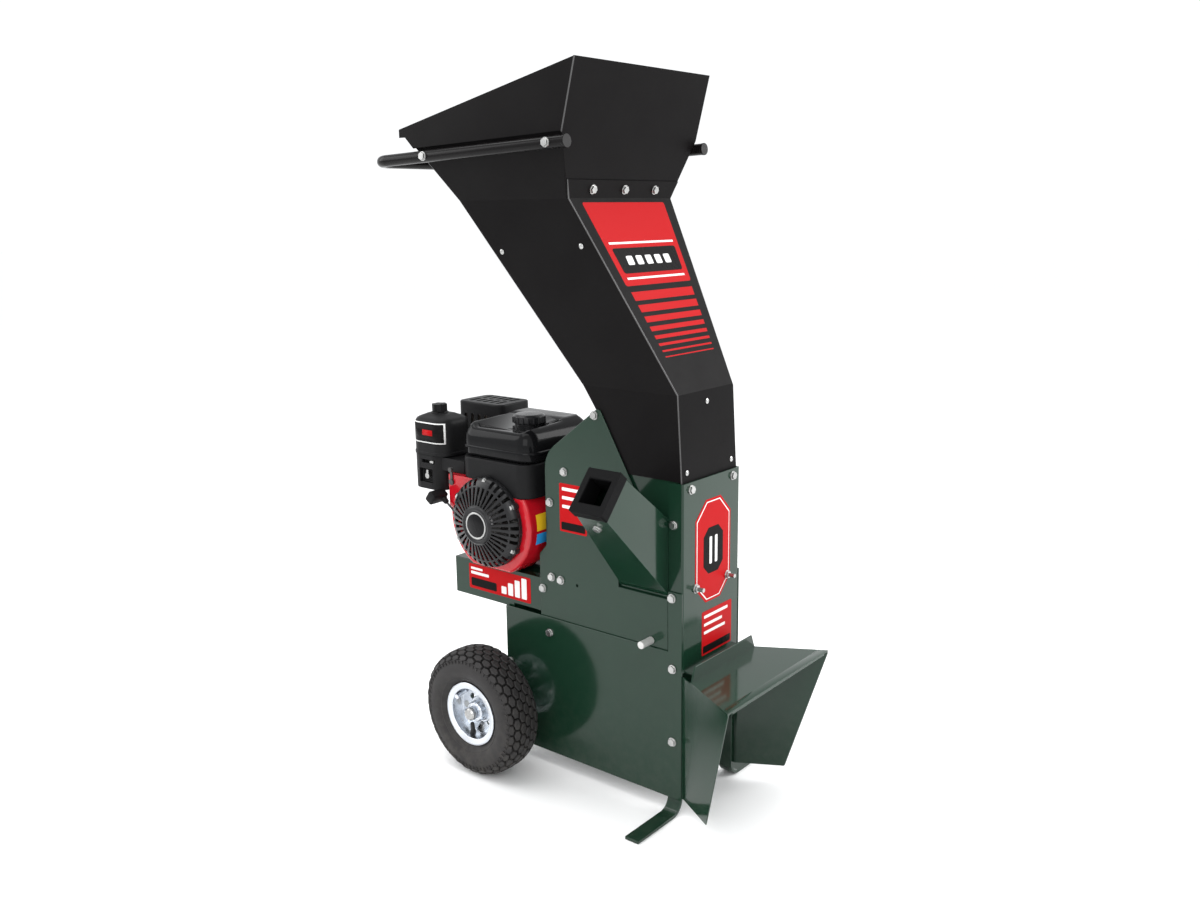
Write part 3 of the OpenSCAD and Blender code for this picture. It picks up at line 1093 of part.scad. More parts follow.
module muffler() color("dimgray") {
  translate([0, 0, muffler_z]) linear_extrude(muffler_h) translate([muffler_x, muffler_y]) round_rect(muffler_l, muffler_w, 22);
  for (i = [0, 1], j = [0, 1]) translate([muffler_x + 24 + i * (muffler_l - 48), muffler_y + 24 + j * (muffler_w - 48), muffler_z + muffler_h - 1])
    cylinder(r = 5, h = 9);
  intersection() {
    translate([muffler_x + muffler_l / 2, muffler_y + 22, muffler_z - 40]) cylinder(r = 13, h = 41);
    cylinder_frame() translate([-100, 0, barrel_h / 2 + fit]) cube([300, 300, 200]);
  }
}
module muffler_guard() color([0.12, 0.12, 0.12]) difference() {
  translate([0, 0, guard_z0]) linear_extrude(muffler_z + muffler_h + 8 + 2 - guard_z0)
    translate([muffler_x - 5, muffler_y - 5]) round_rect(muffler_l + 10, muffler_w + 10, 18);
  translate([0, 0, guard_z0 - 1]) linear_extrude(muffler_z + muffler_h + 8 + 1 - guard_z0)
    translate([muffler_x - 3, muffler_y - 3]) round_rect(muffler_l + 6, muffler_w + 6, 16);
  for (i = [0 : 4], j = [0 : 1]) translate([muffler_x + 10 + j * 40, muffler_y + 16 + i * 20, muffler_z + muffler_h])
    linear_extrude(20) round_rect(32, 9, 4);
  for (i = [0 : 4]) translate([muffler_x - 10, muffler_y + 16 + i * 20, guard_z0 + 20]) cube([10, 8, 34]);
}
module rope_frame() translate([rope_x, crank_y, crank_z]) rotate([rope_a, 0, 0])
  translate([0, starter_r, 0]) children();
module recoil_grip() color([0.1, 0.1, 0.1]) rope_frame() {
  translate([0, 0, -rope_in]) cylinder(r = rope_r, h = rope_in + rope_out);
  translate([0, 0, rope_out - 12]) cylinder(r = 6, h = 13);
  translate([grip_x0 - rope_x, -12, rope_out]) rotate([90, 0, 90]) linear_extrude(grip_l) round_rect(24, 21, 8);
}
module oil_frame() translate([oil_x, crank_y - 60, bench_z + 46]) rotate([70, 0, 0]) children();
module oil_cap() color([0.1, 0.1, 0.1]) oil_frame() {
  translate([0, 0, -17]) cylinder(r = oil_r - fit, h = 48);
  translate([0, 0, 31]) cylinder(r = oil_r + 4, h = 5);
  translate([-10, -2.5, 35]) cube([20, 5, 8]);
}
module spark_plug() color([0.1, 0.1, 0.1]) cylinder_frame() {
  translate([plug_x, barrel_l + head_l + fit, plug_z]) rotate([-90, 0, 0]) {
    cylinder(r = 9, h = 8, $fn = 6);
    cylinder(r = 6, h = 22);
    translate([0, 0, 14]) cylinder(r = 10, h = 26);
  }
  translate([plug_x, barrel_l + head_l + 32, 0]) {
    translate([0, 0, lead_drop]) cylinder(r = 4, h = plug_z - lead_drop);
    translate([0, 0, lead_drop]) sphere(r = 4);
    translate([0, 0, lead_drop]) rotate([90, 0, 0]) cylinder(r = 4, h = lead_run);
    translate([0, -lead_run, lead_drop]) sphere(r = 4);
    translate([0, -lead_run, lead_drop]) rotate([0, -90, 0]) cylinder(r = 4, h = lead_in);
  }
}

// Bolts of the housing and of the engine's feet
module housing_bolts() color("silver") {
  both_sides() {
    for (p = concat(case_bolts, flange_bolts)) bolt_left(side_x, p, bolt_len);
    for (p = bench_bolts) bolt_left(side_x, p, 2 * sheet_t + 2);
    for (p = concat(tab_bolts, deflector_bolts, [lap_bolt, axle_bolt])) bolt_left(skirt_x, p, bolt_len);
    bolt_left(side_x, apex_bolt, side_x);
  }
  for (p = front_bolts) translate([p[0], 0, p[1]]) rotate([90, 0, 0]) flange_bolt(bolt_len * 0.6);
  for (p = front_studs) translate([p[0], 0, p[1]]) rotate([90, 0, 0]) {
    flange_bolt(bolt_len * 0.6);
    cylinder(r = bolt_r, h = stud_l);
  }
  chute_bolt_places() flange_bolt(sheet_t);
  cartridge_bolt_places() flange_bolt(7);
  mount_places() flange_bolt(foot_t + bench_t + 6);
}

placed() front_panel();
placed() left_side_plate();
placed() right_side_plate();
placed() left_skirt();
placed() right_skirt();
placed() rotor_case();
placed() discharge_screen();
placed() screen_pin();
placed() rear_cover();
placed() anvil_bar();
placed() engine_bench();
placed() left_leg();
placed() right_leg();
placed() axle();
placed() axle_brackets();
placed() axle_retainers();
placed() hopper_neck();
placed() hopper_head();
placed() handle_tube();
placed() chipper_chute();
placed() chute_collar();
placed() deflector();
placed() bearing_cartridge();
placed() cartridge_bearings();
placed() belt_guard();
placed() drive_belt();
placed() housing_bolts();
placed() hopper_fasteners();
placed() flywheel_fan();
placed() crankcase();
placed() crankcase_cover();
placed() cylinder_head();
placed() blower_housing();
placed() recoil_cover();
placed() engine_cowl();
placed() fuel_tank();
placed() air_cleaner_base();
placed() air_cleaner_cover();
placed() carburettor();
placed() muffler();
placed() muffler_guard();
placed() spark_plug();
placed() tank_cap();
placed() air_cleaner_knob();
placed() throttle_lever();
placed() choke_lever();
placed() fuel_lever();
placed() recoil_grip();
placed() oil_cap();
placed() rotor_shaft();
placed() knife_disc();
placed() chipper_knives();
placed() shredder_drum();
placed() driven_pulley();
placed() crankshaft();
placed() drive_pulley();
placed() left_tyre();
placed() left_rim();
placed() right_tyre();
placed() right_rim();
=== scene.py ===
"""Looks of a petrol garden shredder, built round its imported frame.

Shapes are made in the maker's axes, in millimetres: X across from the mid-plane, Y to the rear from the front
panel, Z up from the ground. Shape.piece moves each one into the frame, in metres.
"""

from __future__ import annotations

import json
import logging
import math
from collections.abc import Callable, Sequence
from dataclasses import dataclass
from enum import Enum
from functools import cache

import bmesh
import bpy
from bmesh.types import BMEdge, BMesh, BMFace, BMVert
from bpy.types import Material, Node, NodeSocket, NodeTree, Object
from mathutils import Matrix, Vector

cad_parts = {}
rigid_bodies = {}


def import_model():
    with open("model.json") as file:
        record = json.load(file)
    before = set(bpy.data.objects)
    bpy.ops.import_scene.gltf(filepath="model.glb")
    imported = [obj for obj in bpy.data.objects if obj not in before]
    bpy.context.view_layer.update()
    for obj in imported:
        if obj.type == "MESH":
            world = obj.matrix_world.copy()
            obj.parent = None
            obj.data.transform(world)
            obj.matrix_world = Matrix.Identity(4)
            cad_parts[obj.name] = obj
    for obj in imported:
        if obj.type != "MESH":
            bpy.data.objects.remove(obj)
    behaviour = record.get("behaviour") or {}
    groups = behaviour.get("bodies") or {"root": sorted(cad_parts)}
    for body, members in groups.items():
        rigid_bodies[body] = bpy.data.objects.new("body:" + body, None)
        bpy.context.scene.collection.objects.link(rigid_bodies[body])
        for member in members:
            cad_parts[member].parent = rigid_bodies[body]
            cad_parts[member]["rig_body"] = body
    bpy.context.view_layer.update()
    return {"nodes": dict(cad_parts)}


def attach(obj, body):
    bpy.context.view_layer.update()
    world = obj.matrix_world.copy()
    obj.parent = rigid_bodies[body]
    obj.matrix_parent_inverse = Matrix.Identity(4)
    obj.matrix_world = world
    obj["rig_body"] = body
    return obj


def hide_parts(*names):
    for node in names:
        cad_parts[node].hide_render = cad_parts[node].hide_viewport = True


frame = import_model()

log = logging.getLogger("shredder")

MM = 0.001
SHIFT = Vector((25.769, -272.0, 0.0))
TO_FRAME = Matrix.Scale(MM, 4) @ Matrix.Translation(SHIFT)
TURN = 2.0 * math.pi
UP = Vector((0.0, 0.0, 1.0))
SIGNS = (-1.0, 1.0)

Point = Sequence[float]
Pair = tuple[float, float]
Colour = tuple[float, float, float]


def turned(axis: str, degrees: float) -> Matrix:
    """Return a turn about a main axis, as a 4x4 matrix."""
    return Matrix.Rotation(math.radians(degrees), 4, axis)


def moved(x: float, y: float, z: float) -> Matrix:
    """Return a move, as a 4x4 matrix."""
    return Matrix.Translation((x, y, z))


# Shader trees

class Tree:
    """A node tree that is filled by kind of node and name of socket."""

    def __init__(self, tree: NodeTree) -> None:
        """Take over a tree."""
        self.tree = tree

    def add(self, kind: str, inputs: dict | None = None, **settings: object) -> Node:
        """Add a node.

        Args:
            kind: Blender's name of the node type.
            inputs: values or sockets for the node's inputs, by name or number.
            settings: properties of the node itself.

        Returns:
            The new node.
        """
        node = self.tree.nodes.new(kind)
        for name, value in settings.items():
            setattr(node, name, value)
        for key, value in (inputs or {}).items():
            if isinstance(value, NodeSocket):
                self.tree.links.new(value, node.inputs[key])
            else:
                node.inputs[key].default_value = value
        return node

    def math(self, operation: str, first: object, second: object) -> NodeSocket:
        """Add a sum of two values and return its output."""
        return self.add("ShaderNodeMath", {0: first, 1: second}, operation=operation).outputs[0]

    def ramp(self, value: NodeSocket, low: float, high: float) -> NodeSocket:
        """Stretch a value from a range to 0 and 1, with its ends held, and return the output."""
        inputs = {"Value": value, "From Min": low, "From Max": high}
        return self.add("ShaderNodeMapRange", inputs, clamp=True).outputs[0]

    def blend(self, share: object, first: object, second: object) -> NodeSocket:
        """Mix two colours and return the output."""
        return self.add("ShaderNodeMix", {0: share, 6: first, 7: second}, data_type="RGBA").outputs[2]

    def stretch(self, point: NodeSocket, scale: Point) -> NodeSocket:
        """Scale a point along its axes and return the output."""
        return self.add("ShaderNodeVectorMath", {0: point, 1: scale}, operation="MULTIPLY").outputs[0]

    def noise(self, point: NodeSocket, scale: object, detail: float, rough: float = 0.5) -> NodeSocket:
        """Add a noise and return its value."""
        inputs = {"Vector": point, "Scale": scale, "Detail": detail, "Roughness": rough}
        return self.add("ShaderNodeTexNoise", inputs).outputs[0]


SOCKETS = {"Point": "NodeSocketVector"} | dict.fromkeys(("Base", "Shade", "Colour"), "NodeSocketColor")


class Relief(Enum):
    """The small relief of a surface."""

    PEEL = "sprayed paint"
    POWDER = "baked powder"
    GRAIN = "moulded grain"
    CAST = "cast skin"
    BRUSHED = "drawn metal"
    SPANGLE = "zinc crystals"
    STRANDS = "twisted strands"
    PRINT = "printed film"


class Effects:
    """Node groups that several finishes share, each built once."""

    @staticmethod
    def begin(name: str, inputs: Sequence[str], outputs: Sequence[str]) -> tuple[Tree, dict[str, NodeSocket]]:
        """Start a group.

        Args:
            name: the group's name.
            inputs: names of its inputs; those not in SOCKETS are numbers.
            outputs: names of its outputs.

        Returns:
            The tree and its input sockets by name.
        """
        group = bpy.data.node_groups.new(name, "ShaderNodeTree")
        for way, sockets in (("INPUT", inputs), ("OUTPUT", outputs)):
            for socket in sockets:
                kind = SOCKETS.get(socket, "NodeSocketFloat")
                group.interface.new_socket(socket, in_out=way, socket_type=kind)
        tree = Tree(group)
        entry = tree.add("NodeGroupInput")
        return tree, {socket.name: socket for socket in entry.outputs if socket.name}

    @classmethod
    @cache
    def tone(cls) -> NodeTree:
        """Build the drift of a colour to its shade in soft patches.

        Returns:
            The group.
        """
        tree, given = cls.begin("tone_drift", ("Point", "Base", "Shade", "Scale", "Amount"), ("Colour",))
        patch = tree.ramp(tree.noise(given["Point"], given["Scale"], detail=4.0, rough=0.55), 0.34, 0.66)
        share = tree.math("MULTIPLY", patch, given["Amount"])
        tree.add("NodeGroupOutput", {"Colour": tree.blend(share, given["Base"], given["Shade"])})
        return tree.tree

    @classmethod
    @cache
    def dust(cls) -> NodeTree:
        """Build the fine dust that lies on a colour near the ground.

        Returns:
            The group.
        """
        inputs = ("Point", "Base", "Shade", "Height", "Amount")
        tree, given = cls.begin("ground_dust", inputs, ("Colour", "Mask"))
        level = tree.add("ShaderNodeSeparateXYZ", {0: given["Point"]}).outputs[2]
        low = tree.math("SUBTRACT", 1.0, tree.math("DIVIDE", level, given["Height"]))
        low = tree.math("POWER", tree.math("MAXIMUM", low, 0.0), 1.6)
        specks = tree.ramp(tree.noise(given["Point"], 62.0, detail=6.0, rough=0.65), 0.38, 0.72)
        mask = tree.math("MULTIPLY", tree.math("MULTIPLY", low, specks), given["Amount"])
        tree.add("NodeGroupOutput", {"Colour": tree.blend(mask, given["Base"], given["Shade"]), "Mask": mask})
        return tree.tree

    @classmethod
    @cache
    def marks(cls) -> NodeTree:
        """Build the change of gloss by smudges and fine rub marks.

        Returns:
            The group.
        """
        tree, given = cls.begin("rub_marks", ("Point", "Scale", "Low", "High"), ("Roughness",))
        smudge = tree.noise(given["Point"], given["Scale"], detail=4.0, rough=0.6)
        fine = tree.math("MULTIPLY", given["Scale"], 14.0)
        streak = tree.noise(tree.stretch(given["Point"], (1.0, 0.22, 0.6)), fine, detail=2.0)
        both = tree.math("ADD", tree.math("MULTIPLY", smudge, 0.7), tree.math("MULTIPLY", streak, 0.3))
        reach = tree.math("SUBTRACT", given["High"], given["Low"])
        extra = tree.math("MULTIPLY", tree.ramp(both, 0.36, 0.64), reach)
        tree.add("NodeGroupOutput", {"Roughness": tree.math("ADD", given["Low"], extra)})
        return tree.tree

    @classmethod
    @cache
    def relief(cls, kind: Relief) -> NodeTree:
        """Build the height of one kind of relief.

        Args:
            kind: which relief.

        Returns:
            The group.
        """
        tree, given = cls.begin("relief_" + kind.name.lower(), ("Point", "Scale"), ("Height",))
        tree.add("NodeGroupOutput", {"Height": cls.height(tree, kind, given["Point"], given["Scale"])})
        return tree.tree

    @staticmethod
    def height(tree: Tree, kind: Relief, point: NodeSocket, scale: NodeSocket) -> NodeSocket:
        """Fill a relief's group.

        Args:
            tree: the group to fill.
            kind: which relief.
            point: place on the surface.
            scale: how many features a metre holds.

        Returns:
            The socket that holds the height.
        """
        if kind in (Relief.GRAIN, Relief.SPANGLE):
            cell = tree.add("ShaderNodeTexVoronoi", {"Vector": point, "Scale": scale}, feature="SMOOTH_F1")
            if kind is Relief.GRAIN:
                fine = tree.math("MULTIPLY", tree.noise(point, scale, detail=3.0), 0.5)
                return tree.math("ADD", cell.outputs[0], fine)
            return tree.add("ShaderNodeSeparateColor", {0: cell.outputs[1]}).outputs[0]
        if kind is Relief.CAST:
            pit = tree.add("ShaderNodeTexVoronoi", {"Vector": point, "Scale": scale}).outputs[0]
            skin = tree.noise(point, scale, detail=6.0, rough=0.7)
            return tree.math("ADD", skin, tree.math("MULTIPLY", pit, 0.35))
        if kind is Relief.BRUSHED:
            return tree.noise(tree.stretch(point, (0.06, 1.0, 1.0)), scale, detail=4.0, rough=0.6)
        if kind is Relief.STRANDS:
            wave = {"Vector": point, "Scale": scale, "Distortion": 0.6, "Detail": 1.0}
            return tree.add("ShaderNodeTexWave", wave, bands_direction="DIAGONAL").outputs[1]
        return tree.noise(point, scale, {Relief.PEEL: 1.5, Relief.POWDER: 4.0, Relief.PRINT: 2.0}[kind])


# Finishes

DUST = (0.21, 0.19, 0.16, 1.0)
DUST_TOP = 0.30
DUST_ROUGH = 0.35
MARKS_SCALE = 9.0
RELIEF_SIZE = 0.0006
COAT_ROUGH = 0.06


@dataclass(frozen=True)
class Finish:
    """A surface finish: colours, gloss and relief."""

    name: str
    base: Colour
    shade: Colour
    rough: Pair
    relief: Relief
    scale: float
    depth: float
    slot: str | None = None
    metallic: float = 0.0
    coat: float = 0.0
    specular: float = 0.5
    drift: float = 0.6
    patches: float = 7.0
    dust: float = 0.06

    def material(self) -> Material:
        """Return the finish's material, built on its first use."""
        return bpy.data.materials.get(self.name) or self.build()

    def build(self) -> Material:
        """Build the material's nodes.

        Returns:
            The new material.
        """
        material = bpy.data.materials.new(self.name)
        material.use_nodes = True
        material.node_tree.nodes.clear()
        tree = Tree(material.node_tree)
        point = tree.add("ShaderNodeTexCoord").outputs["Object"]
        tone = tree.add("ShaderNodeGroup", node_tree=Effects.tone(), inputs={
            "Point": point, "Base": (*self.base, 1.0), "Shade": (*self.shade, 1.0), "Scale": self.patches,
            "Amount": self.drift})
        dust = tree.add("ShaderNodeGroup", node_tree=Effects.dust(), inputs={
            "Point": point, "Base": tone.outputs["Colour"], "Shade": DUST, "Height": DUST_TOP,
            "Amount": self.dust})
        marks = tree.add("ShaderNodeGroup", node_tree=Effects.marks(), inputs={
            "Point": point, "Scale": MARKS_SCALE, "Low": self.rough[0], "High": self.rough[1]})
        relief = tree.add("ShaderNodeGroup", node_tree=Effects.relief(self.relief), inputs={
            "Point": point, "Scale": self.scale})
        bump = tree.add("ShaderNodeBump", {
            "Height": relief.outputs["Height"], "Strength": self.depth, "Distance": RELIEF_SIZE})
        haze = tree.math("MULTIPLY", dust.outputs["Mask"], DUST_ROUGH)
        rough = tree.math("ADD", marks.outputs["Roughness"], haze)
        surface = tree.add("ShaderNodeBsdfPrincipled", {
            "Base Color": dust.outputs["Colour"], "Roughness": rough, "Normal": bump.outputs["Normal"],
            "Metallic": self.metallic, "Coat Weight": self.coat, "Coat Roughness": COAT_ROUGH,
            "Specular IOR Level": self.specular})
        tree.add("ShaderNodeOutputMaterial", {"Surface": surface.outputs[0]})
        return material


GREEN = Finish("green_gloss_paint", (0.0072, 0.027, 0.0152), (0.0058, 0.0225, 0.0125), (0.09, 0.16),
               Relief.PEEL, 240.0, 0.04, "green_paint", coat=0.08, specular=0.30)
# Lighter, glossier copy of the green paint for the rounded folds: a painted highlight along each fold, with
# real extra gloss.
GREEN_FOLD_HIGHLIGHT = Finish("green_paint_on_folds", (0.022, 0.062, 0.042), (0.016, 0.050, 0.034), (0.10, 0.18),
                    Relief.PEEL, 240.0, 0.04, "green_paint", coat=0.3, specular=0.4)
BLACK = Finish("black_powder_coat", (0.0052, 0.0046, 0.0048), (0.0072, 0.0067, 0.0068), (0.34, 0.44),
               Relief.POWDER, 900.0, 0.10, "black_coat", specular=0.045)
# Much lighter, glossier copy of the black coat for the rounded folds: a painted highlight along each fold,
# with real extra gloss.
BLACK_FOLD_HIGHLIGHT = Finish("black_coat_on_folds", (0.048, 0.047, 0.047), (0.072, 0.070, 0.070), (0.22, 0.32),
                    Relief.POWDER, 900.0, 0.06, "black_coat", specular=0.5)
TUBE = Finish("black_tube_coat", (0.0056, 0.005, 0.0052), (0.0075, 0.007, 0.0071), (0.12, 0.20),
              Relief.POWDER, 900.0, 0.05, "black_coat", specular=0.09)
ZINC = Finish("bright_zinc", (0.46, 0.46, 0.45), (0.30, 0.30, 0.30), (0.20, 0.36),
              Relief.BRUSHED, 700.0, 0.05, "zinc", metallic=1.0, patches=60.0)
DULL_ZINC = Finish("dull_zinc", (0.60, 0.60, 0.58), (0.50, 0.50, 0.49), (0.38, 0.5),
                   Relief.BRUSHED, 700.0, 0.04, "zinc", metallic=0.3, patches=30.0)
RIM = Finish("pressed_zinc", (0.68, 0.71, 0.75), (0.58, 0.62, 0.68), (0.18, 0.30),
             Relief.SPANGLE, 90.0, 0.012, "rim_zinc", metallic=1.0, drift=0.4, patches=8.0)
STEEL = Finish("ground_steel", (0.50, 0.50, 0.51), (0.36, 0.35, 0.34), (0.24, 0.40),
               Relief.BRUSHED, 500.0, 0.08, "steel", metallic=1.0, patches=30.0)
IRON = Finish("dark_iron", (0.10, 0.098, 0.096), (0.055, 0.05, 0.047), (0.45, 0.62),
              Relief.CAST, 420.0, 0.25, "iron", metallic=0.85, patches=18.0)
CASTING = Finish("cast_alloy", (0.40, 0.41, 0.42), (0.27, 0.27, 0.28), (0.42, 0.58),
                 Relief.CAST, 520.0, 0.22, "casting", metallic=0.9, patches=16.0)
RED = Finish("red_gloss_shroud", (0.47, 0.006, 0.014), (0.34, 0.004, 0.010), (0.13, 0.22),
             Relief.PEEL, 320.0, 0.04, "red_shroud", coat=0.3, specular=0.3)
PLASTIC = Finish("black_moulded_plastic", (0.0085, 0.0085, 0.009), (0.006, 0.006, 0.0064), (0.38, 0.50),
                 Relief.GRAIN, 1300.0, 0.16, "black_plastic", specular=0.11)
COLLAR = Finish("black_collar_plastic", (0.0042, 0.0042, 0.0045), (0.003, 0.003, 0.0032), (0.36, 0.48),
                Relief.GRAIN, 1300.0, 0.14, "black_plastic", specular=0.05)
GLOSS = Finish("black_gloss_plastic", (0.005, 0.005, 0.0056), (0.007, 0.007, 0.0076), (0.08, 0.15),
               Relief.PEEL, 180.0, 0.05, "tank_black", coat=0.08, specular=0.08)
SLOTTED = Finish("black_satin_plastic", (0.010, 0.010, 0.011), (0.014, 0.014, 0.015), (0.22, 0.34),
                 Relief.PEEL, 260.0, 0.07, "black_plastic", specular=0.26)
MUFFLER = Finish("heat_tinted_steel", (0.20, 0.17, 0.145), (0.11, 0.085, 0.08), (0.38, 0.55),
                 Relief.CAST, 300.0, 0.12, "muffler_steel", metallic=0.9, patches=14.0)
LEAD = Finish("lead_rubber", (0.012, 0.012, 0.012), (0.02, 0.02, 0.02), (0.45, 0.6),
              Relief.POWDER, 600.0, 0.1, "lead_rubber")
CORD = Finish("starter_cord", (0.022, 0.022, 0.024), (0.06, 0.06, 0.062), (0.6, 0.75),
              Relief.STRANDS, 420.0, 0.7, "lead_rubber")
TYRE = Finish("tyre_rubber", (0.0135, 0.0122, 0.0124), (0.020, 0.0184, 0.0182), (0.55, 0.70),
              Relief.POWDER, 700.0, 0.22, "tyre", specular=0.36, dust=0.18)
# Darker, duller copy of the tyre rubber for the carcass between the blocks: painted shade in the grooves.
GROOVE_SHADE = Finish("tyre_groove_rubber", (0.006, 0.0057, 0.0057), (0.009, 0.0086, 0.0085), (0.7, 0.85),
                Relief.POWDER, 700.0, 0.22, "tyre", specular=0.1, dust=0.12)
FLOOR = Finish("pale_floor", (0.95, 0.95, 0.95), (0.94, 0.94, 0.94), (0.55, 0.65),
               Relief.PRINT, 30.0, 0.01, specular=0.2, dust=0.0)


def printed(name: str, base: Colour, shade: Colour, rough: Pair = (0.24, 0.34), depth: float = 0.01,
            specular: float = 0.06) -> Finish:
    """Return the finish of a printed film."""
    return Finish(name, base, shade, rough, Relief.PRINT, 120.0, depth, specular=specular)


FILM_RED = printed("red_film", (0.41, 0.007, 0.009), (0.39, 0.006, 0.008), (0.28, 0.30), 0.004, 0.04)
FILM_BLACK = printed("black_film", (0.007, 0.0065, 0.0067), (0.010, 0.0095, 0.0096), (0.24, 0.30),
                     specular=0.03)
FILM_WHITE = printed("white_film", (0.76, 0.76, 0.75), (0.70, 0.70, 0.69))
FILM_YELLOW = printed("yellow_film", (0.80, 0.50, 0.02), (0.72, 0.43, 0.015))
FILM_BLUE = printed("blue_film", (0.03, 0.30, 0.66), (0.025, 0.25, 0.58))


# Meshes

SHARP_ANGLE = math.radians(24.0)
SHORTEST_ROUNDED = 0.0017
ROOM_WIDTHS = 2.2
SPAN_SHARE = 0.8
SIDEWAYS = 0.77
FOLD_LENGTH = 0.02
FOLD_SPAN = 0.012
FOLD_ANGLE = 0.2
TOUCH = 1e-5


def to_object(bm: BMesh, name: str, finishes: Sequence[Finish], smooth: float) -> Object:
    """Turn a finished bmesh in the frame's metres into an object.

    Args:
        bm: the mesh, which is freed.
        name: the object's name.
        finishes: finishes of the material slots, in order.
        smooth: edges sharper than this angle, in degrees, stay hard.

    Returns:
        The object, linked to the scene.
    """
    mesh = bpy.data.meshes.new(name)
    bm.to_mesh(mesh)
    bm.free()
    if "custom_normal" in mesh.attributes:
        mesh.attributes.remove(mesh.attributes["custom_normal"])
    for finish in finishes:
        mesh.materials.append(finish.material())
    mesh.shade_smooth()
    mesh.set_sharp_from_angle(angle=math.radians(smooth))
    made = bpy.data.objects.new(name, mesh)
    bpy.context.scene.collection.objects.link(made)
    return made


def span(edge: BMEdge) -> float:
    """Return how wide the narrower of the two faces at an edge is."""
    sizes = [face.calc_area() * (2.0 if len(face.verts) == 3 else 1.0) for face in edge.link_faces]
    return min(sizes) / max(edge.calc_length(), 1e-9)


def is_fold(edge: BMEdge) -> bool:
    """Say whether an edge is a long one between wide faces."""
    return edge.calc_length() > FOLD_LENGTH and span(edge) > FOLD_SPAN


def bends(edge: BMEdge, angle: float) -> bool:
    """Say whether two faces meet at an edge at more than an angle in radians."""
    return len(edge.link_faces) == 2 and edge.calc_face_angle(0.0) > angle


def has_room(edge: BMEdge, room: float) -> bool:
    """Say whether an edge can be rounded without running over its neighbours.

    Args:
        edge: the edge.
        room: the least length beside it.

    Returns:
        Whether its faces and the edges that leave it sideways are long enough.
    """
    if edge.calc_length() < SHORTEST_ROUNDED or span(edge) < SPAN_SHARE * room:
        return False
    along = (edge.verts[1].co - edge.verts[0].co).normalized()
    for vert in edge.verts:
        for other in vert.link_edges:
            way = other.other_vert(vert).co - vert.co
            if other is not edge and way.length < room and abs(way.normalized().dot(along)) < SIDEWAYS:
                return False
    return True


def weigh_edges(bm: BMesh, width: float) -> None:
    """Mark the sharp edges that can take a rounding.

    Args:
        bm: the mesh, in the frame's metres.
        width: width of the rounding in millimetres.
    """
    weight = bm.edges.layers.float.new("bevel_weight_edge")
    for edge in bm.edges:
        if bends(edge, SHARP_ANGLE):
            edge[weight] = float(has_room(edge, ROOM_WIDTHS * width * MM))


def broken_edges(made: Object, width: float, steps: int = 2, angle: float | None = None) -> None:
    """Round an object's edges.

    Args:
        made: the object.
        width: width of the rounding in millimetres.
        steps: faces across it.
        angle: edges sharper than this angle, in degrees, are rounded; without it, the edges that were marked.
    """
    edges = made.modifiers.new("broken_edges", "BEVEL")
    edges.width = width * MM
    edges.segments = steps
    edges.limit_method = "WEIGHT" if angle is None else "ANGLE"
    edges.angle_limit = math.radians(angle or 0.0)
    edges.use_clamp_overlap = False
    even = made.modifiers.new("even_normals", "WEIGHTED_NORMAL")
    even.mode = "FACE_AREA"
    even.weight = 90
    even.keep_sharp = True


def wall(made: Object, thickness: float) -> None:
    """Give an open shell a wall that grows inwards.

    Args:
        made: the shell.
        thickness: the wall's thickness in millimetres.
    """
    shell = made.modifiers.new("wall", "SOLIDIFY")
    shell.thickness = thickness * MM
    shell.offset = -1.0


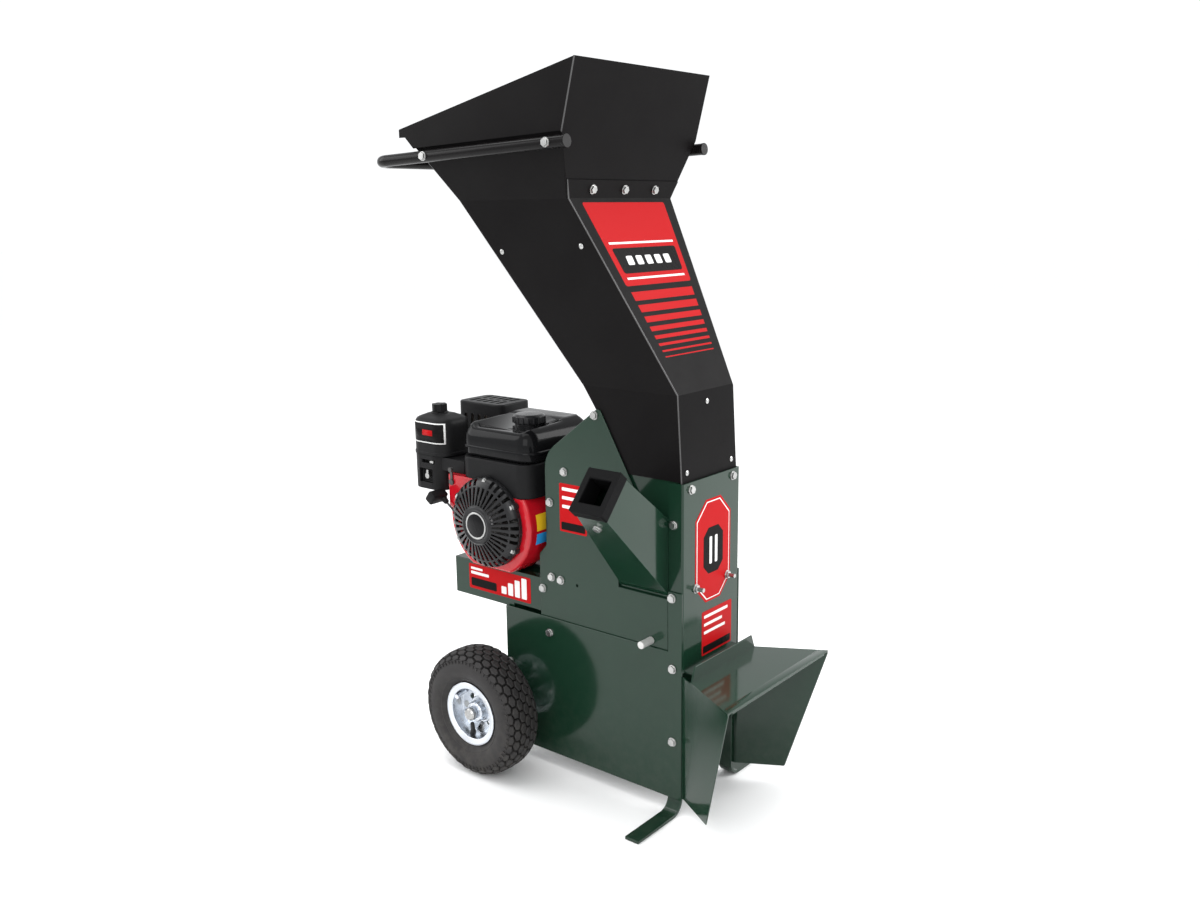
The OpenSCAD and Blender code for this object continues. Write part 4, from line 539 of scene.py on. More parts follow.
class Shape:
    """A mesh being built in the maker's axes, in millimetres."""

    def __init__(self) -> None:
        """Start with nothing."""
        self.bm = bmesh.new()
        self.paint = 0

    def fresh(self, before: set[BMFace]) -> list[BMFace]:
        """Paint new faces with the current slot.

        Args:
            before: the faces that were there already.

        Returns:
            The new faces.
        """
        made = [face for face in self.bm.faces if face not in before]
        for face in made:
            face.material_index = self.paint
        return made

    def box(self, low: Point, high: Point, place: Matrix) -> list[BMFace]:
        """Add a box.

        Args:
            low: its lowest corner.
            high: its highest corner.
            place: the axes of the corners.

        Returns:
            Its faces.
        """
        before = set(self.bm.faces)
        middle = (Vector(low) + Vector(high)) / 2.0
        size = Matrix.LocRotScale(middle, None, Vector(high) - Vector(low))
        bmesh.ops.create_cube(self.bm, size=1.0, matrix=place @ size)
        return self.fresh(before)

    def drum(self, place: Matrix, radius: float, length: float, top: float | None = None,
             sides: int = 32) -> list[BMFace]:
        """Add a drum or cone that stands on a place along its Z axis.

        Args:
            place: where its foot is.
            radius: radius at the foot.
            length: height along Z.
            top: radius at the top, if it differs.
            sides: faces round it.

        Returns:
            Its faces.
        """
        before = set(self.bm.faces)
        bmesh.ops.create_cone(
            self.bm, cap_ends=True, cap_tris=False, segments=sides, radius1=radius,
            radius2=radius if top is None else top, depth=length,
            matrix=place @ moved(0.0, 0.0, length / 2.0))
        return self.fresh(before)

    def lathe(self, profile: Sequence[Pair], place: Matrix, sides: int = 72, closed: bool = False,
              sweep: float = TURN) -> list[BMFace]:
        """Spin a profile of (radius, height) points round a place's Z axis.

        Args:
            profile: the points.
            place: the axis and its origin.
            sides: faces round it.
            closed: whether the last point joins the first.
            sweep: angle of the spin.

        Returns:
            The new faces.
        """
        before = set(self.bm.faces)
        verts = [self.bm.verts.new(place @ Vector((r, 0.0, h))) for r, h in profile]
        pairs = list(zip(verts, verts[1:]))
        if closed:
            pairs.append((verts[-1], verts[0]))
        edges = [self.bm.edges.new(pair) for pair in pairs]
        bmesh.ops.spin(
            self.bm, geom=verts + edges, cent=place.translation, axis=place.to_3x3() @ UP, angle=sweep,
            steps=sides, use_merge=sweep >= TURN - 1e-6)
        return self.fresh(before)

    def copies(self, faces: Sequence[BMFace], place: Matrix, count: int) -> None:
        """Repeat faces round a place's Z axis.

        Args:
            faces: the faces.
            place: the axis and its origin.
            count: how many there are in the end.
        """
        before = set(self.bm.faces)
        verts = {vert for face in faces for vert in face.verts}
        edges = {edge for face in faces for edge in face.edges}
        bmesh.ops.spin(
            self.bm, geom=[*faces, *edges, *verts], cent=place.translation, axis=place.to_3x3() @ UP,
            angle=TURN * (count - 1) / count, steps=count - 1, use_duplicate=True)
        self.fresh(before)

    def flat(self, outline: Sequence[Point], corner: float, steps: int) -> BMFace:
        """Add a flat face.

        Args:
            outline: its corners.
            corner: radius of its corners.
            steps: edges round each corner.

        Returns:
            The face.
        """
        before = set(self.bm.faces)
        verts = [self.bm.verts.new(point) for point in outline]
        face = bmesh.ops.contextual_create(self.bm, geom=verts)["faces"][0]
        if corner > 0.0:
            bmesh.ops.bevel(
                self.bm, geom=list(face.verts), offset=corner, affect="VERTICES", segments=steps, profile=0.5,
                material=-1)
        return self.fresh(before)[0]

    def plate(self, outline: Sequence[Pair], low: float, high: float, place: Matrix,
              corner: float = 0.0) -> list[BMFace]:
        """Add a flat plate.

        Args:
            outline: its corners in the place's XY plane.
            low: where it starts along the place's Z axis.
            high: where it ends.
            place: the plane it lies in.
            corner: radius of its corners.

        Returns:
            Its faces.
        """
        before = set(self.bm.faces)
        face = self.flat([place @ Vector((x, y, low)) for x, y in outline], corner, 6)
        self.push(face, place.to_3x3() @ Vector((0.0, 0.0, high - low)))
        return self.fresh(before)

    def push(self, face: BMFace, by: Vector) -> BMFace:
        """Extrude a face.

        Args:
            face: the face.
            by: how far it goes.

        Returns:
            The face at the far end.
        """
        made = bmesh.ops.extrude_face_region(self.bm, geom=[face])["geom"]
        bmesh.ops.translate(self.bm, vec=by, verts=[item for item in made if isinstance(item, BMVert)])
        return next(item for item in made if isinstance(item, BMFace))

    def moulding(self, corner: Point, size: Pair, radius: float, steps: Sequence[Pair],
                 cuts: int = 0) -> BMFace:
        """Add a moulded body with a rounded plan.

        Args:
            corner: the corner where its plan starts.
            size: its plan along X and Y.
            radius: radius of the plan's corners.
            steps: (inset, height) of the plan on the way up or down, from the corner's own level.
            cuts: points along each straight side.

        Returns:
            The face at its far end.
        """
        before = set(self.bm.faces)
        x, y, z = corner
        far_x, far_y = x + size[0], y + size[1]
        face = self.flat([(x, y, z), (far_x, y, z), (far_x, far_y, z), (x, far_y, z)], radius, 10)
        if cuts:
            longs = [edge for edge in face.edges if edge.calc_length() > radius]
            bmesh.ops.subdivide_edges(self.bm, edges=longs, cuts=cuts)
        face = self.push(face, steps[0][1] * UP)
        for (last_in, last_z), (next_in, next_z) in zip(steps, steps[1:]):
            face = self.dent(face, next_in - last_in, next_z - last_z)
        self.fresh(before)
        return face

    def dent(self, face: BMFace, inwards: float, rise: float) -> BMFace:
        """Carry a level face on by one step.

        Args:
            face: the face.
            inwards: how far it is set in from its border.
            rise: how far it goes up.

        Returns:
            The face at the far end.
        """
        if inwards <= 0.0:
            return self.push(face, rise * UP)
        bmesh.ops.inset_region(
            self.bm, faces=[face], thickness=inwards, use_boundary=True, use_even_offset=True)
        bmesh.ops.translate(self.bm, vec=rise * UP, verts=list(face.verts))
        return face

    def rings(self, face: BMFace, count: int) -> None:
        """Fill a face with rings that shrink towards its middle.

        Args:
            face: the face.
            count: number of rings.
        """
        middle = Matrix.Translation(-face.calc_center_median())
        for index in range(count, 0, -1):
            face = self.push(face, Vector())
            share = (index - 0.5) / (index + 0.5)
            bmesh.ops.scale(self.bm, vec=(share, share, 1.0), space=middle, verts=list(face.verts))

    def rims(self, faces: Sequence[BMFace], angle: float = 40.0) -> list[BMEdge]:
        """Return the edges between faces that meet at more than an angle in degrees."""
        edges = {edge for face in faces for edge in face.edges}
        return [edge for edge in edges if bends(edge, math.radians(angle))]

    def bevel(self, edges: Sequence[BMEdge], width: float, steps: int = 2) -> None:
        """Round edges by a width."""
        bmesh.ops.bevel(
            self.bm, geom=list(edges), offset=width, affect="EDGES", segments=steps, profile=0.5, material=-1,
            clamp_overlap=True)

    def cut(self, at: Point, away: Point) -> None:
        """Cut the mesh by a plane and drop what lies on the side that away points to."""
        geom = [*self.bm.verts, *self.bm.edges, *self.bm.faces]
        bmesh.ops.bisect_plane(self.bm, geom=geom, plane_co=at, plane_no=away, clear_outer=True)

    def piece(self, name: str, body: str, finishes: Sequence[Finish], replaces: Sequence[str] = (),
              smooth: float = 32.0, whole: bool = True) -> Object:
        """Close the mesh and put it in the frame as a piece that rides on a body.

        Args:
            name: the piece's name.
            body: the body it rides on.
            finishes: finishes of its material slots.
            replaces: CAD nodes it stands for.
            smooth: edges sharper than this angle, in degrees, stay hard.
            whole: whether it is a closed shape, whose faces are turned outwards.

        Returns:
            The object.
        """
        bmesh.ops.remove_doubles(self.bm, verts=self.bm.verts, dist=0.002)
        if whole:
            bmesh.ops.recalc_face_normals(self.bm, faces=self.bm.faces)
        self.bm.transform(TO_FRAME)
        made = to_object(self.bm, name, finishes, smooth)
        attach(made, body)
        if replaces:
            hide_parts(*replaces)
        log.info("%s rides on %s", name, body)
        return made


class Film(Shape):
    """Printed layers that lie one over the other on a plane."""

    thick = 0.25
    sink = 0.1

    def __init__(self, place: Matrix, inks: Sequence[Finish]) -> None:
        """Start with a plane and the inks that are printed on it."""
        super().__init__()
        self.place = place
        self.inks = inks

    def layer(self, ink: Finish, outline: Sequence[Pair], level: int, corner: float = 0.0) -> None:
        """Print an outline.

        Args:
            ink: its ink.
            outline: its corners.
            level: number of layers below it; it is sunk a little into the last of them.
            corner: radius of its corners.
        """
        self.paint = self.inks.index(ink)
        low = self.thick * level - (self.sink if level else 0.0)
        self.plate(outline, low, self.thick * (level + 1), self.place, corner)

    def bar(self, ink: Finish, low: Pair, high: Pair, level: int, corner: float) -> None:
        """Print an upright rectangle between two corners."""
        self.layer(ink, [low, (high[0], low[1]), high, (low[0], high[1])], level, corner)

    def lay(self, name: str) -> None:
        """Put the film on the machine."""
        self.piece(name, "frame", self.inks)


@dataclass(frozen=True)
class Softened:
    """A CAD node that is shown with broken edges and a finish of its own."""

    node: str
    finish: Finish
    edge: float = 0.7
    steps: int = 2
    fold: Finish | None = None
    clamp: bool = True
    hard: float = 25.0

    def merged(self) -> BMesh:
        """Merge a copy of the node's mesh.

        Returns:
            The mesh, with its flat faces whole.
        """
        bm = bmesh.new()
        bm.from_mesh(frame["nodes"][self.node].data)
        bmesh.ops.remove_doubles(bm, verts=bm.verts, dist=2e-5)
        bmesh.ops.dissolve_limit(bm, angle_limit=math.radians(1.0), verts=bm.verts, edges=bm.edges)
        for face in bm.faces:
            face.material_index = 0
        return bm

    def rounded(self, width: float, chosen: Callable[[BMEdge], bool], steps: int = 4) -> BMesh:
        """Round some edges of a merged copy well.

        Args:
            width: width of the rounding in millimetres.
            chosen: tells which of the sharp edges are rounded.
            steps: faces across it.

        Returns:
            The mesh.
        """
        bm = self.merged()
        made = bmesh.ops.bevel(
            bm, geom=[edge for edge in bm.edges if bends(edge, FOLD_ANGLE) and chosen(edge)],
            offset=width * MM, affect="EDGES", segments=steps, profile=0.5, material=-1,
            clamp_overlap=self.clamp)
        # Faces of the rounded bends take the second finish, which paints a highlight along the folds.
        if self.fold:
            for face in made["faces"]:
                face.material_index = 1
        return bm

    def show(self, bm: BMesh | None = None) -> None:
        """Replace the node by its softened copy.

        Args:
            bm: a merged copy that was worked on, if there is one.
        """
        bm = bm or self.merged()
        weigh_edges(bm, self.edge)
        finishes = (self.finish, self.fold) if self.fold else (self.finish,)
        made = to_object(bm, self.node + "_dressed", finishes, self.hard)
        broken_edges(made, self.edge, self.steps)
        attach(made, frame["nodes"][self.node]["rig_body"])
        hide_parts(self.node)
        log.info("%s shows with %s", self.node, self.finish.name)


def dress(finish: Finish, edge: float, *nodes: str, steps: int = 2) -> None:
    """Show CAD nodes with one finish and edges broken by a width."""
    for node in nodes:
        Softened(node, finish, edge, steps).show()


def painted(node: str, finish: Finish) -> None:
    """Give a CAD node that stays as it is a finish.

    Args:
        node: the node.
        finish: its finish.
    """
    for slot in frame["nodes"][node].material_slots:
        slot.material = finish.material()
    log.info("%s keeps its mesh, with %s", node, finish.name)


# Sub-assemblies

@dataclass
class Housing:
    """Sheet-steel housing, its chute, deflector, bench and legs."""

    bend: float = 2.6
    edge: float = 0.9
    hem_z: float = 280.0
    hem_y: float = -151.6
    hem_depth: float = 14.6
    hem_halves: Pair = (174.5, 166.0)
    hem_levels: Pair = (-1.8, 0.3)
    hem_tilt: float = 6.0

    def build(self) -> None:
        """Dress every sheet and the bolts."""
        for node in ("front_panel", "rear_cover", "engine_bench", "deflector", "belt_guard"):
            self.bent(Softened(node, GREEN, self.edge))
        # The chute's rounded folds take a lighter copy of the green paint: a painted highlight.
        self.bent(Softened("chipper_chute", GREEN, self.edge, fold=GREEN_FOLD_HIGHLIGHT))
        dress(GREEN, self.edge, "left_side_plate", "right_side_plate", "left_skirt", "right_skirt",
              "axle_brackets", "left_leg", "right_leg")
        painted("rotor_case", GREEN)
        dress(COLLAR, 2.2, "chute_collar", steps=3)
        dress(IRON, 0.5, "discharge_screen")
        dress(DULL_ZINC, 0.8, "screen_pin")
        dress(ZINC, 0.5, "housing_bolts")
        painted("anvil_bar", STEEL)
        self.hem()

    def bent(self, soft: Softened) -> None:
        """Dress a sheet whose folds are bent round."""
        soft.show(soft.rounded(self.bend, is_fold))

    def hem(self) -> None:
        """Add the hem along the deflector's outer edge, tilted a little to the front."""
        shape = Shape()
        place = moved(0.0, self.hem_y, self.hem_z) @ turned("X", self.hem_tilt)
        outer, inner = self.hem_halves
        outline = [(-outer, 0.0), (outer, 0.0), (inner, self.hem_depth), (-inner, self.hem_depth)]
        shape.bevel(shape.rims(shape.plate(outline, *self.hem_levels, place)), 0.6)
        shape.piece("deflector_hem", "frame", (GREEN,))


@dataclass
class Hopper:
    """Hopper neck, head, handle and their fasteners."""

    bend: float = 1.8
    steep: float = 0.3

    def build(self) -> None:
        """Dress the sheets, the tube and the fasteners."""
        for node in ("hopper_neck", "hopper_head"):
            # The rounded upright folds take a lighter copy of the black coat: a painted highlight.
            self.sheet(Softened(node, BLACK, fold=BLACK_FOLD_HIGHLIGHT, clamp=node == "hopper_head", hard=8.0))
        dress(TUBE, 0.6, "handle_tube")
        dress(ZINC, 0.5, "hopper_fasteners")

    def sheet(self, soft: Softened) -> None:
        """Dress a sheet whose upright folds are bent round.

        Args:
            soft: the sheet.
        """

        def upright(edge: BMEdge) -> bool:
            """Say whether an edge is a fold that doesn't lie level."""
            rise = abs(edge.verts[0].co.z - edge.verts[1].co.z)
            return is_fold(edge) and rise > self.steep * edge.calc_length()

        soft.show(soft.rounded(self.bend, upright))


class Side(Enum):
    """A side of the machine; the value is the direction along X."""

    LEFT = -1
    RIGHT = 1


@dataclass(frozen=True)
class TreadRow:
    """A row of six-sided tread blocks round a tyre."""

    across: float
    foot: float
    height: float
    lean: float
    size: Pair
    phase: float


@dataclass
class Wheel:
    """A pneumatic wheel with a block tread on a pressed rim."""

    side: Side
    centre_x: float = 190.0
    axle_y: float = 426.0
    radius: float = 130.0
    bead: float = 55.6
    rim: float = 65.0
    groove_shade_r: float = 113.4
    pitches: int = 34
    taper: float = 0.9
    middle: TreadRow = TreadRow(0.0, 123.6, 6.3, 0.0, (25.0, 14.8), 0.0)
    rows: tuple[TreadRow, ...] = (
        TreadRow(12.6, 123.0, 6.5, 4.0, (25.0, 14.8), 0.5),
        TreadRow(24.6, 120.6, 6.7, 20.0, (24.0, 14.2), 0.0),
        TreadRow(32.2, 114.6, 5.8, 46.0, (22.0, 12.6), 0.5))
    bolts_r: float = 40.0
    valve_turn: float = -164.0
    valve_lean: float = -72.0

    @property
    def name(self) -> str:
        """Return the side's name."""
        return self.side.name.lower()

    @property
    def body(self) -> str:
        """Return the name of the body that turns."""
        return f"{self.name}_wheel"

    @property
    def place(self) -> Matrix:
        """Return the wheel's centre, with Z pointing outwards along the axle."""
        sign = self.side.value
        return moved(sign * self.centre_x, self.axle_y, self.radius) @ turned("Y", 90.0 * sign)

    def build(self) -> None:
        """Build the tyre and the rim's parts."""
        self.tyre()
        dress(RIM, 0.8, f"{self.name}_rim")
        self.rim_trim()
        self.valve()

    def carcass(self, shape: Shape) -> None:
        """Add the tyre's body, a little lower than the tops of its blocks.

        Args:
            shape: the mesh to add to.
        """
        half = [(125.4, 0.0), (125.2, 9.0), (124.4, 18.0), (122.2, 26.0), (118.4, 32.6), (114.0, 37.0),
                (112.6, 38.6), (111.6, 38.9), (110.4, 38.4), (104.0, 40.6), (96.0, 41.7), (88.0, 41.4),
                (81.0, 39.6), (77.6, 38.0), (76.6, 38.3), (75.4, 37.3), (71.0, 33.8), (67.4, 30.4),
                (65.9, 28.7), (60.0, 27.6), (self.bead, 27.2)]
        lower = [(r, -h) for r, h in reversed(half[1:])]
        # Carcass faces at the tread's radius, seen between the blocks, take the darker second finish: painted
        # shade in the grooves.
        for face in shape.lathe(half + lower, self.place, 96, closed=True):
            spot = face.calc_center_median() - self.place.translation
            face.material_index = int(spot.yz.length > self.groove_shade_r)

    def blocks(self, shape: Shape, row: TreadRow, sign: float) -> None:
        """Add one row of tread blocks.

        Args:
            shape: the mesh to add to.
            row: the row.
            sign: the side of the tread's middle where it lies.
        """
        length, width = row.size
        spot = self.place @ turned("Z", 360.0 * row.phase / self.pitches)
        spot = spot @ moved(row.foot, 0.0, sign * row.across) @ turned("Y", 90.0 - sign * row.lean)
        spot = spot @ Matrix.Diagonal((width / 2.0, length / 2.0, 1.0, 1.0))
        faces = shape.drum(spot @ turned("Z", 30.0), 1.0, row.height, self.taper, sides=6)
        top = max(faces, key=lambda face: face.calc_center_median().dot(spot.to_3x3() @ UP))
        before = set(shape.bm.faces) - set(faces)
        shape.bevel(top.edges, 0.9, 1)
        shape.copies(shape.fresh(before), self.place, self.pitches)

    def tyre(self) -> None:
        """Build the tyre and let it stand for its node."""
        shape = Shape()
        self.carcass(shape)
        self.blocks(shape, self.middle, 1.0)
        for sign in SIGNS:
            for row in self.rows:
                self.blocks(shape, row, sign)
            rib = shape.box((106.5, -1.1, sign * 39.0 - 1.4), (113.0, 1.1, sign * 39.0 + 1.4), self.place)
            shape.copies(rib, self.place, 2 * self.pitches)
        shape.piece(f"{self.name}_tyre_tread", self.body, (TYRE, GROOVE_SHADE), (f"{self.name}_tyre",), smooth=38.0)

    def rim_trim(self) -> None:
        """Add the rolled lips, the disc's bead, the bearing's seat and the bolts that hold the two halves."""
        shape = Shape()
        bead = [(22.0, 1.8), (23.0, 3.2), (25.0, 3.8), (27.0, 3.2), (28.0, 1.8)]
        boss = [(13.2, 1.6), (21.4, 1.6), (21.0, 12.0), (20.2, 19.0), (18.6, 21.0), (16.8, 21.4),
                (16.2, 19.6), (13.2, 19.6)]
        turns = [step * TURN / 10.0 for step in range(10)]
        curl = [(1.9 * math.cos(turn), 1.9 * math.sin(turn)) for turn in turns]
        for sign in SIGNS:
            lip = [(self.rim - 1.2 + r, sign * 31.4 + h) for r, h in curl]
            shape.lathe(lip, self.place, closed=True)
            for profile in (bead, boss):
                shape.lathe([(r, sign * h) for r, h in profile], self.place, 48, closed=True)
        shape.paint = 1
        head = shape.drum(self.place @ moved(self.bolts_r, 0.0, -6.5), 5.4, 13.0, sides=6)
        shape.bevel(shape.rims(head), 0.6, 1)
        washer = shape.drum(self.place @ moved(self.bolts_r, 0.0, -3.0), 7.4, 6.0, sides=20)
        shape.copies([*[face for face in head if face.is_valid], *washer], self.place, 4)
        shape.piece(f"{self.name}_rim_trim", self.body, (RIM, ZINC))

    def valve(self) -> None:
        """Add the valve's rubber stem and cap."""
        shape = Shape()
        spot = self.place @ turned("Z", self.valve_turn * self.side.value) @ moved(49.0, 0.0, 13.0)
        spot = spot @ turned("Y", self.valve_lean)
        stem = [(0.0, -6.0), (6.4, -6.0), (5.6, -1.0), (4.6, 3.0), (4.4, 13.0), (3.6, 14.0), (0.0, 14.0)]
        shape.lathe(stem, spot, 24)
        cap = shape.drum(spot @ moved(0.0, 0.0, 13.5), 4.6, 9.0, 4.1, 18)
        shape.bevel(shape.rims(cap), 0.6)
        shape.piece(f"{self.name}_valve", self.body, (LEAD,))


@dataclass
class RunningGear:
    """Axle, its retainers and the two wheels."""

    edge: float = 0.7

    def build(self) -> None:
        """Dress the axle and build the wheels."""
        dress(ZINC, self.edge, "axle", "axle_retainers")
        for side in Side:
            Wheel(side).build()


@dataclass
class RotorDrive:
    """Knife rotor and belt drive, mostly inside the housing."""

    edge: float = 0.6

    def build(self) -> None:
        """Dress the rotor, its bearings, the pulleys and the belt."""
        dress(IRON, self.edge, "knife_disc", "shredder_drum", "driven_pulley", "drive_pulley",
              "bearing_cartridge")
        dress(STEEL, self.edge, "rotor_shaft", "chipper_knives", "cartridge_bearings", "crankshaft")
        dress(LEAD, self.edge, "drive_belt")


@dataclass
class Engine:
    """Petrol engine: castings, covers, tank, air cleaner, exhaust and controls."""

    crank_y: float = 456.0
    crank_z: float = 501.0
    face_x: float = -120.0
    shroud_r: float = 95.0
    guard_border: float = 6.0
    slots: int = 36
    face_slots: Pair = (41.0, 75.6)
    side_slots_r: float = 79.5
    side_slots_z: float = 8.7
    lugs: tuple[float, ...] = (30.0, 92.0, 150.0, 211.0, 330.0)
    lug_r: float = 87.0
    lug_gap: float = 9.0
    screw_r: float = 4.6
    tank: tuple[float, float, float] = (-112.0, 352.0, 628.3)
    tank_plan: Pair = (206.0, 190.5)
    dip: tuple[float, float, float, float] = (-76.0, 6.0, 384.0, 506.0)
    dip_z: float = 687.0
    dip_slope: float = 0.62
    dip_fall: float = 0.05
    dip_blend: float = 2.6
    air: tuple[float, float, float] = (-115.0, 587.0, 614.3)
    air_plan: Pair = (95.0, 109.0)
    knob_y: float = 646.0
    cord_x: float = -127.0
    cord_turn: float = -53.13
    cord_r: float = 50.0

    @property
    def crank(self) -> Matrix:
        """Return the starter's centre on the shroud, with Z pointing out to the left and X up."""
        return moved(self.face_x, self.crank_y, self.crank_z) @ turned("Y", -90.0)

    def build(self) -> None:
        """Build and dress all the engine's parts."""
        dress(CASTING, 0.8, "crankcase", "crankcase_cover", "cylinder_head", "carburettor")
        dress(IRON, 0.6, "flywheel_fan")
        dress(MUFFLER, 1.5, "muffler", steps=3)
        self.shroud()
        self.exhaust_guard()
        self.recoil()
        self.hub()
        self.fuel_tank()
        self.air_cleaner()
        self.starter_grip()
        self.screws()
        dress(PLASTIC, 2.0, "engine_cowl", steps=3)
        dress(PLASTIC, 1.6, "air_cleaner_base", steps=3)
        dress(PLASTIC, 1.2, "air_cleaner_knob", steps=3)
        dress(SLOTTED, 1.0, "tank_cap", steps=3)
        dress(PLASTIC, 0.8, "oil_cap")
        dress(LEAD, 0.6, "spark_plug")
        dress(IRON, 0.5, "throttle_lever")
        dress(ZINC, 0.5, "choke_lever", "fuel_lever")

    def shroud(self) -> None:
        """Round the shroud's front edge well and dress it."""
        soft = Softened("blower_housing", RED, 0.5)
        middle = (Vector((self.face_x, self.crank_y, self.crank_z)) + SHIFT) * MM

        def on_rim(edge: BMEdge) -> bool:
            """Say whether an edge is part of the front face's outer border."""
            ways = [vert.co - middle for vert in edge.verts]
            return all(abs(way.x) < TOUCH and way.yz.length > self.shroud_r * MM for way in ways)

        soft.show(soft.rounded(9.0, on_rim, 7))

    def exhaust_guard(self) -> None:
        """Round the guard's upper border well and dress it."""
        soft = Softened("muffler_guard", PLASTIC, 0.8)
        corners = [Vector(corner) for corner in frame["nodes"][soft.node].bound_box]
        border = Vector((self.guard_border, self.guard_border, 0.0)) * MM
        low = Vector(map(min, zip(*corners))) + border
        high = Vector(map(max, zip(*corners))) - border

        def on_rim(edge: BMEdge) -> bool:
            """Say whether an edge is part of the top's outer border."""
            spots = [vert.co for vert in edge.verts]
            inner = all(low.x < spot.x < high.x and low.y < spot.y < high.y for spot in spots)
            return not inner and all(high.z - spot.z < TOUCH for spot in spots)

        soft.show(soft.rounded(7.0, on_rim, 6))

    def recoil(self) -> None:
        """Build the slotted starter cover as a shell with open ribs."""
        shape = Shape()
        steps = 4 * self.slots
        profile = [(90.4, 0.4), (92.0, 1.4), (92.0, 8.6), (90.9, 12.4), (87.8, 16.4), (83.4, 19.4),
                   (79.0, 21.6), (75.6, 23.0), (41.0, 35.4), (39.4, 36.4), (38.2, 38.4), (36.6, 39.7),
                   (34.6, 40.0), (32.4, 39.6), (31.2, 38.6), (30.2, 38.2), (0.0, 38.2)]
        back = self.crank.inverted()
        open_faces = []
        for face in shape.lathe(profile, self.crank, steps):
            spot = back @ face.calc_center_median()
            angle = math.atan2(spot.y, spot.x) % TURN
            gaps = [abs((math.degrees(angle) - 90.0 + lug + 180.0) % 360.0 - 180.0) for lug in self.lugs]
            away = spot.xy.length
            in_face = self.face_slots[0] < away < self.face_slots[1]
            in_side = away > self.side_slots_r and spot.z > self.side_slots_z and min(gaps) > self.lug_gap
            if int(angle / TURN * steps) % 4 < 2 and (in_face or in_side):
                open_faces.append(face)
        bmesh.ops.delete(shape.bm, geom=open_faces, context="FACES")
        cover = shape.piece("recoil_cover_shell", "frame", (SLOTTED,), ("recoil_cover",))
        wall(cover, 2.4)
        broken_edges(cover, 0.5, angle=40.0)

    def lug(self, angle: float, out: float) -> Matrix:
        """Return the place of a lug's screw on the starter cover."""
        return self.crank @ turned("Z", 90.0 - angle) @ moved(self.lug_r, 0.0, out)

    def hub(self) -> None:
        """Add the plain ring and disc in the middle of the starter cover, and the lugs round it."""
        shape = Shape()
        disc = [(0.0, 38.1), (24.0, 38.1), (24.0, 38.5), (23.4, 38.8), (0.0, 38.8)]
        shape.lathe(disc, self.crank, 64)
        shape.paint = 1
        ring = [(24.2, 38.1), (27.6, 38.1), (27.6, 39.0), (27.0, 39.4), (24.8, 39.4), (24.2, 39.0)]
        shape.lathe(ring, self.crank, 64, closed=True)
        shape.paint = 2
        for angle in self.lugs:
            faces = shape.drum(self.lug(angle, 0.35), 9.0, 12.4, 8.2)
            shape.bevel(shape.rims(faces, 60.0), 0.8)
        shape.piece("recoil_hub_and_lugs", "frame", (GLOSS, ZINC, SLOTTED))

    def screws(self) -> None:
        """Add the flanged screws of the starter cover."""
        shape = Shape()
        for angle in self.lugs:
            spot = self.lug(angle, 12.5)
            shape.drum(spot, self.screw_r * 1.35, 1.2, self.screw_r * 1.25, 24)
            head = shape.drum(spot @ moved(0.0, 0.0, 1.0), self.screw_r, self.screw_r * 0.8, sides=6)
            shape.bevel(shape.rims(head), 0.5, 1)
        shape.piece("engine_screws", "frame", (ZINC,))

    def saddle(self, spot: Vector) -> float:
        """Return the height of the dip round the filler cap, above which the tank has no wall.

        Args:
            spot: a point on the tank.

        Returns:
            The height there.
        """
        x0, x1, y0, y1 = self.dip
        off = math.hypot(max(0.0, spot.x - x1), max(0.0, y0 - spot.y, spot.y - y1))
        return self.dip_z + self.dip_slope * off + self.dip_fall * max(0.0, spot.x - x0)

    def fuel_tank(self) -> None:
        """Build the blow-moulded tank with its seam and the dip round the cap."""
        shape = Shape()
        x, y, z = self.tank
        along, across = self.tank_plan
        foot = [(0.0, -12.0), (1.0, -15.6), (3.4, -18.2)]
        shape.moulding((x + 2.0, y + 2.0, z + 18.5), (along - 4.0, across - 4.0), 28.0, foot)
        seam = [(0.0, 4.4), (1.4, 5.7)]
        shape.moulding((x - 2.0, y - 2.0, z + 18.0), (along + 4.0, across + 4.0), 32.0, seam)
        crown = [(0.0, 9.0), (0.5, 15.0), (1.6, 20.0), (3.6, 25.6), (6.4, 31.0), (10.0, 36.0), (14.0, 40.4),
                 (18.4, 44.2), (22.6, 47.4), (26.6, 50.6)]
        shape.rings(shape.moulding((x, y, z + 23.0), self.tank_plan, 30.0, crown, cuts=18), 16)
        for vert in shape.bm.verts:
            if vert.co.z > z + 24.0:
                gap = vert.co.z - self.saddle(vert.co)
                vert.co.z -= 0.5 * (gap + math.hypot(gap, self.dip_blend))
        shape.piece("fuel_tank_body", "frame", (GLOSS,), ("fuel_tank",), smooth=50.0)

    def air_cleaner(self) -> None:
        """Build the air cleaner's cover with its rim and shallow crown."""
        shape = Shape()
        x, _, z = self.air
        crown = [(0.0, 6.0), (1.4, 7.2), (1.7, 58.0), (2.2, 66.0), (3.6, 71.0), (6.4, 74.6), (10.6, 77.0),
                 (16.0, 79.0), (23.0, 81.4), (30.0, 84.2)]
        shape.moulding(self.air, self.air_plan, 34.0, crown)
        ring = moved(x + self.air_plan[0] / 2.0, self.knob_y, z + 83.4)
        shape.lathe([(15.5, 0.0), (19.8, 0.0), (19.0, 2.0), (16.4, 2.0)], ring, 48, closed=True)
        shape.piece("air_cleaner_dome", "frame", (PLASTIC,), ("air_cleaner_cover",), smooth=40.0)

